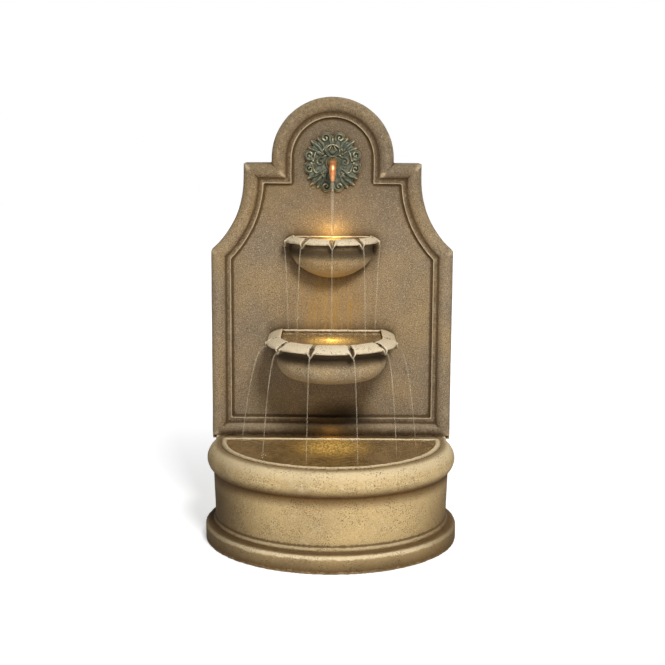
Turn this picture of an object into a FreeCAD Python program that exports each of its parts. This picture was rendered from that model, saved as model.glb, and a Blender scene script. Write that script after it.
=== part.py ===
"""Garden wall fountain in cast stone, as an assembly of separate pieces.

Millimetres, +Z up, the front faces -Y. The origin lies on the ground, on the upright
axis of the basin's round front.
"""
import FreeCAD, Part
import math
import os
import re
import Sketcher

SIZES = [
    ("overcut", 1, "how far a cutter passes beyond the face that it cuts"),
    ("back_plane", 170, "back faces of basin and panel, from the basin's axis"),
    ("plinth_radius", 331, "basin plinth, radius"),
    ("plinth_height", 45, "top of the plinth"),
    ("plinth_round", 6, "rounding of the plinth's upper edge"),
    ("bead_low", 47.5, "foot of the small bead above the plinth"),
    ("bead_round", 6, "radius of the small bead"),
    ("drum_foot", 304.5, "drum radius above the bead"),
    ("drum_top", 309, "drum radius under the rolled rim"),
    ("rim_centre", 289.5, "radius of the rolled rim's centre line"),
    ("rim_height", 216, "height of the rolled rim's centre line"),
    ("rim_round", 36, "section radius of the rolled rim"),
    ("pool_radius", 275, "inner wall of the pool"),
    ("pool_back", 9, "back edge of the pool's mouth"),
    ("band_width", 11.5, "raised band round the mouth"),
    ("band_top", 256.5, "top of the raised band"),
    ("band_round", 2, "rounding of the raised band"),
    ("groove_width", 4, "groove outside the raised band"),
    ("groove_depth", 6, "depth of that groove under the ledge"),
    ("ledge_height", 250, "rear ledge in front of the panel"),
    ("ledge_under", 220, "underside of the rear ledge"),
    ("pool_floor", 32, "inside floor of the basin"),
    ("sump_back", 150, "inner face of the basin's back wall"),
    ("drain_x", 120, "drain hole"),
    ("drain_y", 40, "drain hole"),
    ("drain_radius", 12, "drain hole radius"),
    ("drain_gap", 0.1, "running gap round the drain plug"),
    ("plug_taper", 0.5, "how far the drain plug narrows"),
    ("plug_length", 20, "how deep the drain plug sits"),
    ("plug_lip", 6, "lip of the drain plug's cap"),
    ("plug_cap", 5, "thickness of the drain plug's cap"),
    ("pull_radius", 7, "pull ring of the drain plug"),
    ("pull_round", 1.5, "rounding of the pull ring"),
    ("pull_rise", 12, "middle of the pull ring over the pool floor"),
    ("panel_front", 80, "front arris of the panel's sides"),
    ("seat_gap", 0.5, "gap in front of the panel in its seat"),
    ("panel_foot", 240, "underside of the panel on its seat"),
    ("panel_half", 320, "half width of the panel"),
    ("shoulder_half", 233, "half width at the shoulders"),
    ("shoulder_height", 978, "top of the shoulders"),
    ("sweep_height", 939, "height where the side sweeps start"),
    ("sweep_radius", 249, "radius of the side sweeps"),
    ("arch_radius", 160, "radius of the arch"),
    ("arch_height", 990, "height of the arch's centre"),
    ("frame_foot", 246, "lower edge of the moulded frame"),
    ("roll_width", 38, "width of the frame's roll"),
    ("roll_rise", 16, "how far the roll stands out"),
    ("quirk_width", 3, "narrow groove beside the roll"),
    ("quirk_depth", 4, "depth of that groove"),
    ("fillet_rise", 2, "flat fillet beside the groove"),
    ("fillet_width", 9, "width of the flat fillet"),
    ("arris_rise", 1.5, "thin raised line at the fillet's inner edge"),
    ("arris_width", 3, "width of that line"),
    ("field_plane", 86, "front face of the flat field"),
    ("wall_inner", 110, "front of the hollow behind the field"),
    ("hollow_inset", 34, "thickness of the panel's sides round the hollow"),
    ("foot_wall", 28, "thickness of the panel's foot"),
    ("cover_inset", 22, "edge of the rear rebate"),
    ("cover_gap", 0.5, "gap round the rear cover"),
    ("cover_screw_low", 60, "lowest cover screws over the frame's foot"),
    ("cover_screw_margin", 21, "cover screws under the start of the side sweeps"),
    ("cover_screw_rise", 6, "shoulder screws over the end of the side sweeps"),
    ("cover_front", 148, "inner face of the rear cover"),
    ("cover_thick", 6, "thickness of the rear cover"),
    ("slot_front", 116, "front of the hose and lead slots"),
    ("slot_back", 146, "back of the hose and lead slots"),
    ("duct_y", 131, "hose and leads behind the panel"),
    ("upper_centre", 67, "axis of the upper bowl's round front"),
    ("upper_rim", 124, "lip radius"),
    ("upper_mouth", 100, "mouth radius"),
    ("upper_lip", 773.5, "lower edge of the lip"),
    ("upper_top", 790, "top of the mouth"),
    ("upper_neck", 107, "neck radius under the lip"),
    ("upper_shoulder", 746, "top of the belly"),
    ("upper_belly", 112, "belly radius"),
    ("upper_middle", 766.5, "height of the belly's middle"),
    ("upper_depth", 86.5, "depth of the belly under its middle"),
    ("upper_corner", 72, "smaller radius of the belly"),
    ("upper_wall", 13, "wall thickness"),
    ("lower_centre", -47, "axis of the lower bowl's round front"),
    ("lower_rim", 168, "lip radius"),
    ("lower_mouth", 131, "mouth radius"),
    ("lower_lip", 519.5, "lower edge of the lip"),
    ("lower_top", 540, "top of the mouth"),
    ("lower_neck", 137, "neck radius under the lip"),
    ("lower_shoulder", 500, "top of the belly"),
    ("lower_belly", 141, "belly radius"),
    ("lower_middle", 484, "height of the belly's middle"),
    ("lower_depth", 62, "depth of the belly under its middle"),
    ("lower_corner", 50, "smaller radius of the belly"),
    ("lower_wall", 12, "wall thickness"),
    ("bowl_back", 8, "back wall of a bowl"),
    ("lip_nose", 4, "rounding of the lip's outer edge"),
    ("lip_step", 3, "height of the slopes above and below a bowl's neck and lip edge"),
    ("lip_draft", 1.5, "how far the lip's edge leans in over its rounding"),
    ("mouth_round", 2, "rounding of the mouth's edge"),
    ("mouth_land", 4, "straight stretch under the mouth's edge"),
    ("lip_crown", 70, "radius of the lip's gently rounded face"),
    ("notch_half", 7, "half width of a pouring notch at its top"),
    ("notch_depth", 14, "depth of a pouring notch at the mouth"),
    ("beak_half", 11, "half width of a pouring beak"),
    ("beak_drop", 9, "how far the channel drops under the lip's edge"),
    ("beak_wall", 4, "stone under the channel"),
    ("beak_start", 3, "where a beak's section starts outside the mouth"),
    ("beak_sink", 4, "how far a beak starts under the bowl's top"),
    ("beak_reach", 3, "how far a beak stands out of the lip"),
    ("notch_back", 8, "how far a notch starts inside the mouth"),
    ("channel_rise", 5, "top of a beak's channel over the lip's rounding"),
    ("rosette_height", 978, "centre of the rosette"),
    ("rosette_radius", 66, "plain disc of the rosette"),
    ("rosette_thick", 8, "thickness of that disc"),
    ("rosette_relief", 7, "how far the scrolls stand out"),
    ("boss_radius", 21, "boss round the spout"),
    ("boss_rise", 12, "how far the boss stands out"),
    ("boss_slope", 4, "how far the boss narrows"),
    ("rosette_bead", 4, "rounding of the rosette's rim"),
    ("cartouche_radius", 14, "oval ring above the spout"),
    ("cartouche_round", 3, "rounding of that ring"),
    ("cartouche_rise", 32, "height of that ring over the rosette's centre"),
    ("scroll_slope", 3, "how far a scroll's boss narrows"),
    ("spout_height", 981, "axis of the spout where it leaves the panel"),
    ("spout_radius", 9, "outer radius of the spout tube"),
    ("spout_wall", 1.5, "wall of the spout tube"),
    ("spout_tip_radius", 5, "outer radius at the spout's tip"),
    ("spout_reach", 46, "how far the straight tube stands out of the field"),
    ("spout_bend", 22, "bend radius of the spout"),
    ("spout_drop", 25, "length of the tapered end"),
    ("spout_fit", 0.2, "gap round the spout tube"),
    ("collar_radius", 13, "collar in front of the boss"),
    ("collar_thick", 4, "thickness of the collar"),
    ("locknut_radius", 15, "locknut behind the wall"),
    ("locknut_thick", 6, "thickness of the locknut"),
    ("socket_depth", 11, "how deep the tube sits in the elbow"),
    ("elbow_radius", 12, "elbow body radius"),
    ("elbow_drop", 24, "from the spout's axis down to the elbow's collar"),
    ("elbow_collar", 1, "how far the elbow's collar stands out of the hose"),
    ("barb_length", 14, "length of a hose barb"),
    ("hose_bore", 6.5, "hose bore radius, which is the barb's radius"),
    ("hose_radius", 9, "outer radius of the hose"),
    ("water_bore", 5, "bore radius of barbs"),
    ("clamp_thick", 1.5, "thickness of a hose clamp"),
    ("clamp_width", 8, "width of a hose clamp"),
    ("clamp_inset", 3, "clamp in from the hose's end"),
    ("hose_slot_x", -80, "middle of the hose slot"),
    ("hose_slot_half", 22, "half width of the hose slot"),
    ("lead_slot_x", 60, "middle of the lead slot"),
    ("lead_slot_half", 34, "half width of the lead slot"),
    ("pump_y", 85, "pump axis"),
    ("pump_left", -190, "motor end of the pump"),
    ("motor_length", 78, "length of the motor block"),
    ("pump_half", 28, "half width of the pump"),
    ("pump_half_height", 30, "half height of the pump"),
    ("foot_height", 8, "suction foot height"),
    ("foot_radius", 8, "suction foot radius at the floor"),
    ("foot_taper", 3, "how far a foot narrows"),
    ("foot_inset_x", 14, "feet in from the motor block's ends"),
    ("foot_inset_y", 12, "feet in from the motor block's sides"),
    ("pump_lead_inset", 30, "where the lead leaves the pump, from its motor end"),
    ("pump_lead_depth", 12, "how deep the lead sits in the motor block"),
    ("well_radius", 12.5, "rotor well radius"),
    ("well_end", 10, "wall behind the rotor well"),
    ("rotor_gap", 1, "gap round the rotor"),
    ("chamber_length", 20, "length of the pump chamber"),
    ("chamber_radius", 20, "inside radius of the pump chamber"),
    ("chamber_depth", 12, "depth of the pump chamber"),
    ("intake_radius", 8, "intake hole radius"),
    ("vane_radius", 17, "impeller radius"),
    ("vane_thick", 1.5, "thickness of a vane"),
    ("vane_disc", 2, "thickness of the disc behind the vanes"),
    ("vane_gap", 2, "gap between that disc and the motor block"),
    ("vane_tip", 0.5, "how far a vane ends inside the disc's edge"),
    ("shaft_radius", 1.5, "pump shaft radius"),
    ("shaft_gap", 0.05, "running gap on the shaft"),
    ("bush_radius", 4, "outer radius of a shaft bush"),
    ("bush_length", 3, "length of a shaft bush"),
    ("bush_ring", 1, "wall of the ring that holds the front bush"),
    ("spider_thick", 2, "thickness of the arms that hold the front bush"),
    ("outlet_collar", 8, "radius of the outlet's collar"),
    ("collar_height", 12, "height of the outlet's collar"),
    ("strainer_length", 32, "length of the strainer"),
    ("strainer_wall", 3, "wall of the strainer"),
    ("strainer_slot", 3, "width of an intake slot"),
    ("slot_pitch", 6, "distance between intake slots"),
    ("slot_margin", 8, "plain margin round the intake slots"),
    ("dial_radius", 10, "flow dial radius"),
    ("dial_thick", 6, "flow dial thickness"),
    ("spindle_radius", 3, "flow dial spindle"),
    ("keeper_lip", 2, "lip and thickness of the spindle's keeper"),
    ("grip_thick", 3, "thickness and height of the dial's grip"),
    ("grip_margin", 2, "grip in from the dial's edge"),
    ("pivot_gap", 0.05, "running gap of small pivots"),
    ("lamp_pivot", 23, "height of a lamp's pivot over its seat"),
    ("lamp_radius", 17, "lamp body radius"),
    ("lamp_under", 9, "lamp body under its pivot"),
    ("lamp_over", 7, "lamp body over its pivot"),
    ("lens_radius", 14.7, "lens radius"),
    ("lens_thick", 4, "lens thickness"),
    ("lens_gap", 0.3, "gap round the lens"),
    ("bezel_radius", 18.5, "outer radius of the bezel"),
    ("bezel_mouth", 12.5, "inner radius of the bezel"),
    ("bezel_thick", 2.5, "thickness of the bezel"),
    ("ear_inner", 19, "inner face of a bracket ear"),
    ("ear_thick", 3, "thickness of bracket and ears"),
    ("ear_half", 7, "half width of an ear"),
    ("bracket_half", 10, "half width of a bracket's base"),
    ("trunnion_radius", 3, "pivot pin of a lamp"),
    ("lamp_room", 40, "half side of the space that a lamp's foot is fitted in"),
    ("lamp_lower_y", -60, "lower bowl lamp"),
    ("lamp_upper_y", 40, "upper bowl lamp"),
    ("lamp_basin_y", -30, "basin lamp"),
    ("lead_radius", 2.2, "radius of a lead"),
    ("lead_gap", 0.2, "gap round a lead in a hole"),
    ("lead_end_gap", 0.3, "gap between a lead's end and the turning pivot"),
    ("pump_lead_aside", 2, "pump lead behind the duct's middle where it enters the box"),
    ("upper_lead_x", 45, "where the upper lead passes the wall"),
    ("lower_lead_x", 75, "where the lower lead passes the wall"),
    ("basin_lead_x", 80, "where the basin lead rises"),
    ("pump_lead_x", 42, "where the pump lead rises"),
    ("grommet_radius", 5, "outer radius of a grommet"),
    ("grommet_lip", 1, "how far a grommet stands out each side"),
    ("bolt_radius", 4, "radius of the bowl and seat bolts"),
    ("bolt_gap", 0.2, "gap round those bolts"),
    ("bolt_head", 7, "radius of a bolt's head and nut"),
    ("bolt_head_thick", 6, "thickness of a head or nut"),
    ("bolt_tail", 3, "thread past the nut"),
    ("upper_bolt_x", 55, "upper bowl bolts"),
    ("upper_bolt_z", 750, "upper bowl bolts"),
    ("lower_bolt_x", 92, "lower bowl bolts"),
    ("lower_bolt_z", 500, "lower bowl bolts"),
    ("seat_bolt_x", 200, "bolts that hold the panel to the basin"),
    ("stud_x", 42, "rosette studs"),
    ("stud_radius", 3, "rosette stud radius"),
    ("stud_depth", 5, "stud depth in the rosette"),
    ("stud_nut", 5.5, "rosette nut radius"),
    ("stud_nut_thick", 5, "rosette nut thickness"),
    ("box_left", 20, "junction box, left side"),
    ("box_width", 82, "junction box width"),
    ("box_foot", 310, "junction box, underside"),
    ("box_tall", 90, "junction box height"),
    ("box_depth", 26, "junction box depth"),
    ("box_wall", 2.5, "junction box wall"),
    ("lid_thick", 3, "junction box lid"),
    ("lid_screw_inset", 7, "lid screws in from the lid's corners"),
    ("lid_screw_head", 2, "thickness of a lid screw's head"),
    ("lid_screw_reach", 6, "how far a lid screw reaches into the box"),
    ("lead_entry", 4, "how far a lead reaches into the box"),
    ("driver_margin", 14, "room round the driver in the box"),
    ("driver_depth", 16, "driver depth"),
    ("hatch_half", 110, "half width of the hatch opening"),
    ("hatch_foot", 300, "lower edge of the hatch opening"),
    ("hatch_tall", 200, "height of the hatch opening"),
    ("door_lap", 8, "how far the door laps the hatch opening"),
    ("door_gap", 0.3, "gap between the closed door and the cover"),
    ("door_thick", 6, "door thickness"),
    ("hinge_offset", 6, "hinge axis beside the door's edge"),
    ("knuckle_radius", 4, "hinge knuckle radius"),
    ("knuckle_lift", 0.4, "gap between a knuckle and the cover"),
    ("knuckle_length", 14, "length of one knuckle"),
    ("knuckle_gap", 0.3, "gap between knuckles"),
    ("leaf_width", 21, "width of a hinge leaf"),
    ("leaf_thick", 2, "thickness of a hinge leaf"),
    ("leaf_gap", 0.6, "gap between a leaf and the other's knuckles"),
    ("pin_radius", 2, "hinge pin radius"),
    ("hinge_low", 345, "middle of the lower hinge"),
    ("hinge_high", 455, "middle of the upper hinge"),
    ("knob_radius", 9, "door knob radius"),
    ("knob_reach", 8, "how far the knob stands out"),
    ("catch_height", 400, "door magnet and knob"),
    ("catch_tall", 20, "height of the magnet"),
    ("catch_wide", 10, "width of the magnet"),
    ("strike_thick", 1, "thickness of the strike plate"),
    ("screw_radius", 2, "small screw radius"),
    ("screw_head", 4, "small screw head radius"),
    ("screw_head_thick", 3, "small screw head thickness"),
    ("screw_length", 18, "cover screw length under the head"),
    ("screw_gap", 0.2, "gap round a screw in the cover"),
    ("gland_x", 190, "mains cord gland"),
    ("gland_z", 300, "mains cord gland"),
    ("gland_bore", 4.25, "mains cord gland bore radius"),
    ("gland_thread", 8, "gland thread radius"),
    ("gland_nut", 11, "gland nut radius"),
    ("gland_inner", 8, "gland nut thickness inside"),
    ("gland_outer", 12, "how far the gland stands out"),
    ("gland_tail", 2, "stem past the gland's inner nut"),
    ("gland_nose", 3, "stem past the gland's outer nut"),
    ("rail_half", 190, "half length of the hanging rail"),
    ("rail_height", 900, "middle of the hanging rail"),
    ("rail_tall", 30, "height of the hanging rail"),
    ("rail_thick", 4, "thickness of the hanging rail"),
    ("rail_hole_x", 150, "wall screw holes in the rail"),
    ("rail_hole", 4.5, "wall screw hole radius"),
    ("spacer_x", 100, "rail spacers"),
    ("spacer_radius", 8, "rail spacer radius"),
    ("rail_screw", 2.5, "rail screw radius"),
    ("rail_screw_head", 5, "rail screw head radius"),
    ("rail_screw_thick", 4, "rail screw head thickness"),
    ("clip_low", 440, "lower hose clip, height"),
    ("clip_high", 880, "upper hose clip, height"),
    ("clip_width", 10, "width of a hose clip"),
    ("clip_thick", 2, "thickness of a hose clip"),
    ("clip_foot", 14, "half width of a hose clip's foot"),
    ("hose_straight_end", 560, "where the hose starts to lean to the middle"),
    ("hose_lean_end", 800, "where the hose is back upright in the middle"),
    ("hose_rise", 34, "where the hose leaves the outlet's axis"),
    ("hose_turn", 12, "where the hose turns upright under the ledge"),
    ("hose_tight_bend", 45, "bend radius of the hose in the sump"),
    ("hose_easy_bend", 300, "bend radius of the hose behind the panel"),
]

UPPER_NOTCHES = (-80, -38, 0, 38, 80)
LOWER_NOTCHES = (-88, -53, -18, 18, 53, 88)
VANE_COUNT = 6
END_SLOTS = (-3.5, -2.5, 2.5, 3.5)
TOP_SLOTS = 4
ROLL_STEPS = 6

doc = FreeCAD.newDocument("wall_fountain")
sheet = doc.addObject("Spreadsheet::Sheet", "sizes")
for row, (alias, amount, note) in enumerate(SIZES, start=1):
    sheet.set("A%d" % row, note)
    sheet.set("B%d" % row, str(amount))
    sheet.setAlias("B%d" % row, alias)
doc.recompute()

ALIASES = {alias for alias, amount, note in SIZES}
NODES = {}


def formula(text):
    """Point every size named in a formula at the sheet."""
    return re.sub(
        r"[a-z_]+",
        lambda word: "sizes." + word.group(0) if word.group(0) in ALIASES else word.group(0),
        str(text),
    )


def number(text):
    """Work a formula out with the sheet's present sizes."""
    return float(sheet.evalExpression(formula(text)))


def bind(thing, **values):
    """Tie properties to formulas; a double underscore stands for a dot."""
    for name, text in values.items():
        thing.setExpression(name.replace("__", "."), formula(text))


def node(label, thing):
    """Give a finished piece its name."""
    thing.Label = label
    NODES[label] = thing
    return thing


TURNS = {
    "+Z": FreeCAD.Rotation(),
    "-Z": FreeCAD.Rotation(FreeCAD.Vector(1, 0, 0), 180),
    "+X": FreeCAD.Rotation(FreeCAD.Vector(0, 1, 0), 90),
    "-X": FreeCAD.Rotation(FreeCAD.Vector(0, 1, 0), -90),
    "+Y": FreeCAD.Rotation(FreeCAD.Vector(1, 0, 0), -90),
    "-Y": FreeCAD.Rotation(FreeCAD.Vector(1, 0, 0), 90),
}


def place(thing, spot, way="+Z"):
    """Put a primitive at a spot given as three formulas, with its axis along a row axis."""
    thing.Placement = FreeCAD.Placement(FreeCAD.Vector(), TURNS[way])
    bind(thing, Placement__Base__x=spot[0], Placement__Base__y=spot[1], Placement__Base__z=spot[2])
    return thing


def box(name, low, size):
    """A box from its lowest corner and its three sizes."""
    thing = doc.addObject("Part::Box", name)
    bind(thing, Length=size[0], Width=size[1], Height=size[2])
    return place(thing, low)


def rod(name, radius, length, spot, way="+Z"):
    """A cylinder that starts at a spot and runs along a row axis."""
    thing = doc.addObject("Part::Cylinder", name)
    bind(thing, Radius=radius, Height=length)
    return place(thing, spot, way)


def cone(name, first, second, length, spot, way="+Z"):
    """A cone from one radius to another."""
    thing = doc.addObject("Part::Cone", name)
    bind(thing, Radius1=first, Radius2=second, Height=length)
    return place(thing, spot, way)


def hexagon(name, radius, length, spot, way="+Z"):
    """A six-sided prism, as of a nut."""
    thing = doc.addObject("Part::Prism", name)
    thing.Polygon = 6
    bind(thing, Circumradius=radius, Height=length)
    return place(thing, spot, way)


def ring(name, major, minor, spot, way="+Z"):
    """A torus about a row axis."""
    thing = doc.addObject("Part::Torus", name)
    bind(thing, Radius1=major, Radius2=minor)
    return place(thing, spot, way)


def group(name, parts):
    """Several separate solids as one piece."""
    thing = doc.addObject("Part::Compound", name)
    thing.Links = list(parts)
    return thing


def fuse(name, parts):
    """One solid from several that touch or overlap."""
    thing = doc.addObject("Part::MultiFuse", name)
    thing.Shapes = list(parts)
    thing.Refine = True
    return thing


def cut(name, base, tools):
    """A solid with one or more tools taken away."""
    tools = list(tools)
    thing = doc.addObject("Part::Cut", name)
    thing.Base = base
    thing.Tool = tools[0] if len(tools) == 1 else group(name + "_tools", tools)
    return thing


def new_body(name):
    """A body for sketched features."""
    return doc.addObject("PartDesign::Body", name)


def sketch_on(body, name, role, offset="0"):
    """A sketch on one of the body's own planes, moved along the plane's normal."""
    sketch = body.newObject("Sketcher::SketchObject", name)
    plane = [feature for feature in body.Origin.OriginFeatures if feature.Role == role][0]
    sketch.AttachmentSupport = [(plane, "")]
    sketch.MapMode = "FlatFace"
    bind(sketch, AttachmentOffset__Base__z=offset)
    return sketch


def fix(sketch, kind, text, *where):
    """Add a dimension to a sketch and tie it to a formula."""
    index = sketch.addConstraint(Sketcher.Constraint(kind, *where, number(text)))
    name = "size_%d" % index
    sketch.renameConstraint(index, name)
    sketch.setExpression("Constraints." + name, formula(text))


def arc_between(start, end, radius, turn):
    """The smaller arc from start to end, counterclockwise for a turn of 1."""
    chord = end - start
    rise = math.sqrt(max(radius * radius - chord.Length * chord.Length / 4, 0))
    aside = FreeCAD.Vector(-chord.y, chord.x, 0).normalize() * turn
    centre = (start + end) * 0.5 + aside * rise
    first = math.atan2(start.y - centre.y, start.x - centre.x)
    last = math.atan2(end.y - centre.y, end.x - centre.x)
    if turn < 0:
        first, last = last, first
    if last < first:
        last += 2 * math.pi
    circle = Part.Circle(centre, FreeCAD.Vector(0, 0, 1), radius)
    return Part.ArcOfCircle(circle, first, last)


def draw(sketch, corners):
    """Draw a closed outline whose corners are formulas.

    A corner is (x, y), reached by a line, or (x, y, radius, turn), reached by an arc.
    """
    points = [FreeCAD.Vector(number(corner[0]), number(corner[1]), 0) for corner in corners]
    edges = []
    for index, corner in enumerate(corners):
        start = points[index - 1]
        end = points[index]
        if len(corner) == 2:
            edge = sketch.addGeometry(Part.LineSegment(start, end))
            edges.append((edge, 1, 2))
        else:
            turn = corner[3]
            edge = sketch.addGeometry(arc_between(start, end, number(corner[2]), turn))
            edges.append((edge, 1, 2) if turn > 0 else (edge, 2, 1))
    for index, (edge, first, last) in enumerate(edges):
        following, entry, leaving = edges[(index + 1) % len(edges)]
        sketch.addConstraint(Sketcher.Constraint("Coincident", edge, last, following, entry))
    for index, (edge, first, last) in enumerate(edges):
        fix(sketch, "DistanceX", corners[index][0], -1, 1, edge, last)
        fix(sketch, "DistanceY", corners[index][1], -1, 1, edge, last)
        if len(corners[index]) > 2:
            fix(sketch, "Radius", corners[index][2], edge)
    return sketch


def draw_circles(sketch, circles):
    """Draw round holes, each given as (x, y, radius) formulas."""
    for x, y, radius in circles:
        centre = FreeCAD.Vector(number(x), number(y), 0)
        edge = sketch.addGeometry(Part.Circle(centre, FreeCAD.Vector(0, 0, 1), number(radius)))
        fix(sketch, "DistanceX", x, -1, 1, edge, 3)
        fix(sketch, "DistanceY", y, -1, 1, edge, 3)
        fix(sketch, "Radius", radius, edge)
    return sketch


def feature(body, kind, name, sketch, reverse=False, **values):
    """A pad, pocket, revolution or groove of one sketch."""
    thing = body.newObject("PartDesign::" + kind, name)
    thing.Profile = sketch
    thing.Reversed = reverse
    if kind in ("Revolution", "Groove"):
        thing.ReferenceAxis = (sketch, ["V_Axis"])
    bind(thing, **values)
    return thing


def loft(body, kind, name, sketches):
    """A straight-sided loft through sketches."""
    thing = body.newObject("PartDesign::" + kind, name)
    thing.Profile = sketches[0]
    thing.Sections = sketches[1:]
    thing.Ruled = True
    return thing


def rectangle(left, low, right, high):
    """Four corners from two."""
    return [(left, low), (right, low), (right, high), (left, high)]


def both_sides(half):
    """Mirror a half outline, which starts and ends on the axis, to the whole section."""
    right = half[1:-1]
    left = []
    for index in range(len(right) - 1, -1, -1):
        x, y = right[index][:2]
        bend = () if index == len(right) - 1 else tuple(right[index + 1][2:])
        left.append(("-(%s)" % x, y) + bend)
    return right + left


def tube_path(points, radii):
    """Straight runs joined by tangent arcs; a radius for each inner point."""
    places = [FreeCAD.Vector(*point) for point in points]
    edges = []
    start = places[0]
    for index in range(1, len(places) - 1):
        corner = places[index]
        back = (places[index - 1] - corner).normalize()
        ahead = (places[index + 1] - corner).normalize()
        half = (math.pi - back.getAngle(ahead)) / 2
        reach = radii[index - 1] * math.tan(half)
        entry = corner + back * reach
        leave = corner + ahead * reach
        inward = (back + ahead).normalize()
        middle = corner + inward * (radii[index - 1] * (1 / math.cos(half) - 1))
        edges.append(Part.LineSegment(start, entry).toShape())
        edges.append(Part.Arc(entry, middle, leave).toShape())
        start = leave
    edges.append(Part.LineSegment(start, places[-1]).toShape())
    return Part.Wire(edges)


def tube(name, points, radii, outer, inner=None):
    """A round tube, or a round cable, along a path; points are rows of formulas."""
    spots = [tuple(number(value) for value in point) for point in points]
    path = tube_path(spots, [number(radius) for radius in radii])
    start = FreeCAD.Vector(*spots[0])
    heading = FreeCAD.Vector(*spots[1]) - start

    def swept(radius):
        """Sweep one circle along the path."""
        circle = Part.Wire(Part.Circle(start, heading, radius).toShape())
        return Part.Wire(path).makePipeShell([circle], True, False)

    solid = swept(number(outer))
    if inner is not None:
        solid = solid.cut(swept(number(inner)))
    thing = doc.addObject("Part::Feature", name)
    thing.Shape = solid
    section = math.pi * (number(outer) ** 2 - (number(inner) ** 2 if inner is not None else 0))
    print("%s: %.0f mm long, volume over section times length %.4f" % (
        name, path.Length, solid.Volume / (section * path.Length)))
    return thing


# The basin

def basin_profile():
    """Half section of the basin from the axis at the ground to the axis at the ledge."""
    drum_end = "rim_height - sqrt(rim_round ^ 2 - (drum_top - rim_centre) ^ 2)"
    groove_lip = "band_outer + groove_width"
    roll_end = "rim_height + sqrt(rim_round ^ 2 - (%s - rim_centre) ^ 2)" % groove_lip
    corners = [
        ("0", "0"),
        ("plinth_radius", "0"),
        ("plinth_radius", "plinth_height - plinth_round"),
        ("plinth_radius - plinth_round", "plinth_height", "plinth_round", 1),
        ("drum_foot", "bead_low"),
        ("drum_foot + bead_round", "bead_low + bead_round", "bead_round", 1),
        ("drum_foot", "bead_low + 2 * bead_round", "bead_round", 1),
        ("drum_top", drum_end),
        ("rim_centre + rim_round", "rim_height", "rim_round", 1),
        (groove_lip, roll_end, "rim_round", 1),
        ("band_outer + groove_width / 2", "ledge_height - groove_depth"),
        ("band_outer", "ledge_height - groove_depth / 2"),
        ("band_outer", "band_top - band_round"),
        ("band_outer - band_round", "band_top", "band_round", 1),
        ("pool_radius + band_round", "band_top"),
        ("pool_radius", "band_top - band_round", "band_round", 1),
        ("pool_radius", "ledge_height"),
        ("0", "ledge_height"),
    ]
    outer = "(pool_radius + band_width)"
    return [tuple(part.replace("band_outer", outer) if isinstance(part, str) else part
                  for part in corner) for corner in corners]


def make_basin():
    """Basin: a round body that runs into the block under the panel; pool, sump and seat."""
    body = new_body("basin_body")
    high = "(band_top + overcut)"
    wide = "(plinth_radius + overcut)"
    stand_front = "(panel_front - roll_rise - seat_gap)"
    section = draw(sketch_on(body, "basin_half", "XZ_Plane"), basin_profile())
    turned = feature(body, "Revolution", "basin_round", section)
    turned.Angle = 360
    behind = sketch_on(body, "flat_back_plan", "XY_Plane", high)
    draw(behind, rectangle("-" + wide, "back_plane", wide, wide))
    feature(body, "Pocket", "flat_back", behind, Length=high + " + overcut")
    block = sketch_on(body, "block_section", "XZ_Plane", "-back_plane")
    draw(block, rectangle("-drum_top", "0", "drum_top", "ledge_height"))
    feature(body, "Pad", "block_under_panel", block, Length="back_plane - " + stand_front)
    outer = "(pool_radius + band_width)"
    band = sketch_on(body, "back_band_plan", "XY_Plane", "ledge_height")
    draw(band, rectangle("-" + outer, "pool_back", outer, "pool_back + band_width"))
    feature(body, "Pad", "back_band", band, Length="band_top - ledge_height")
    clear = sketch_on(body, "ledge_plan", "XY_Plane", high)
    draw(clear, rectangle("-" + outer, "pool_back + band_width", outer, "panel_front"))
    feature(body, "Pocket", "ledge_top", clear, Length=high + " - ledge_height")
    stand = sketch_on(body, "frame_stand_plan", "XY_Plane", high)
    draw(stand, rectangle("-" + wide, stand_front, wide, "panel_front"))
    feature(body, "Pocket", "frame_stand", stand, Length=high + " - ledge_height")
    pool = sketch_on(body, "pool_plan", "XY_Plane", high)
    draw(pool, [
        ("-pool_radius", "0"),
        ("0", "-pool_radius", "pool_radius", 1),
        ("pool_radius", "0", "pool_radius", 1),
        ("pool_radius", "pool_back"),
        ("-pool_radius", "pool_back"),
    ])
    feature(body, "Pocket", "pool", pool, Length=high + " - pool_floor")
    sump = sketch_on(body, "sump_plan", "XY_Plane", "ledge_under")
    draw(sump, rectangle("-pool_radius", "0", "pool_radius", "sump_back"))
    feature(body, "Pocket", "sump", sump, Length="ledge_under - pool_floor")
    seat = sketch_on(body, "seat_plan", "XY_Plane", high)
    draw(seat, rectangle("-" + wide, "panel_front - seat_gap", wide, "back_plane + overcut"))
    feature(body, "Pocket", "seat", seat, Length=high + " - panel_foot")
    for name, middle, reach in (("hose", "hose_slot_x", "hose_slot_half"),
                                ("lead", "lead_slot_x", "lead_slot_half")):
        slot = sketch_on(body, name + "_slot_plan", "XY_Plane", "panel_foot + overcut")
        draw(slot, rectangle("%s - %s" % (middle, reach), "slot_front",
                             "%s + %s" % (middle, reach), "slot_back"))
        feature(body, "Pocket", name + "_slot", slot, Length="panel_foot + 2 * overcut - ledge_under")
    bolts = sketch_on(body, "seat_bolt_plan", "XY_Plane", "panel_foot + overcut")
    draw_circles(bolts, [("seat_bolt_x", "duct_y", "bolt_radius + bolt_gap"),
                         ("-seat_bolt_x", "duct_y", "bolt_radius + bolt_gap")])
    feature(body, "Pocket", "seat_bolt_holes", bolts, Length="panel_foot + 2 * overcut - ledge_under")
    drain = sketch_on(body, "drain_plan", "XY_Plane", "pool_floor + overcut")
    draw_circles(drain, [("drain_x", "drain_y", "drain_radius")])
    feature(body, "Pocket", "drain_hole", drain, Length="pool_floor + 2 * overcut")
    node("basin", body)


# The back panel and its rear cover

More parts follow.
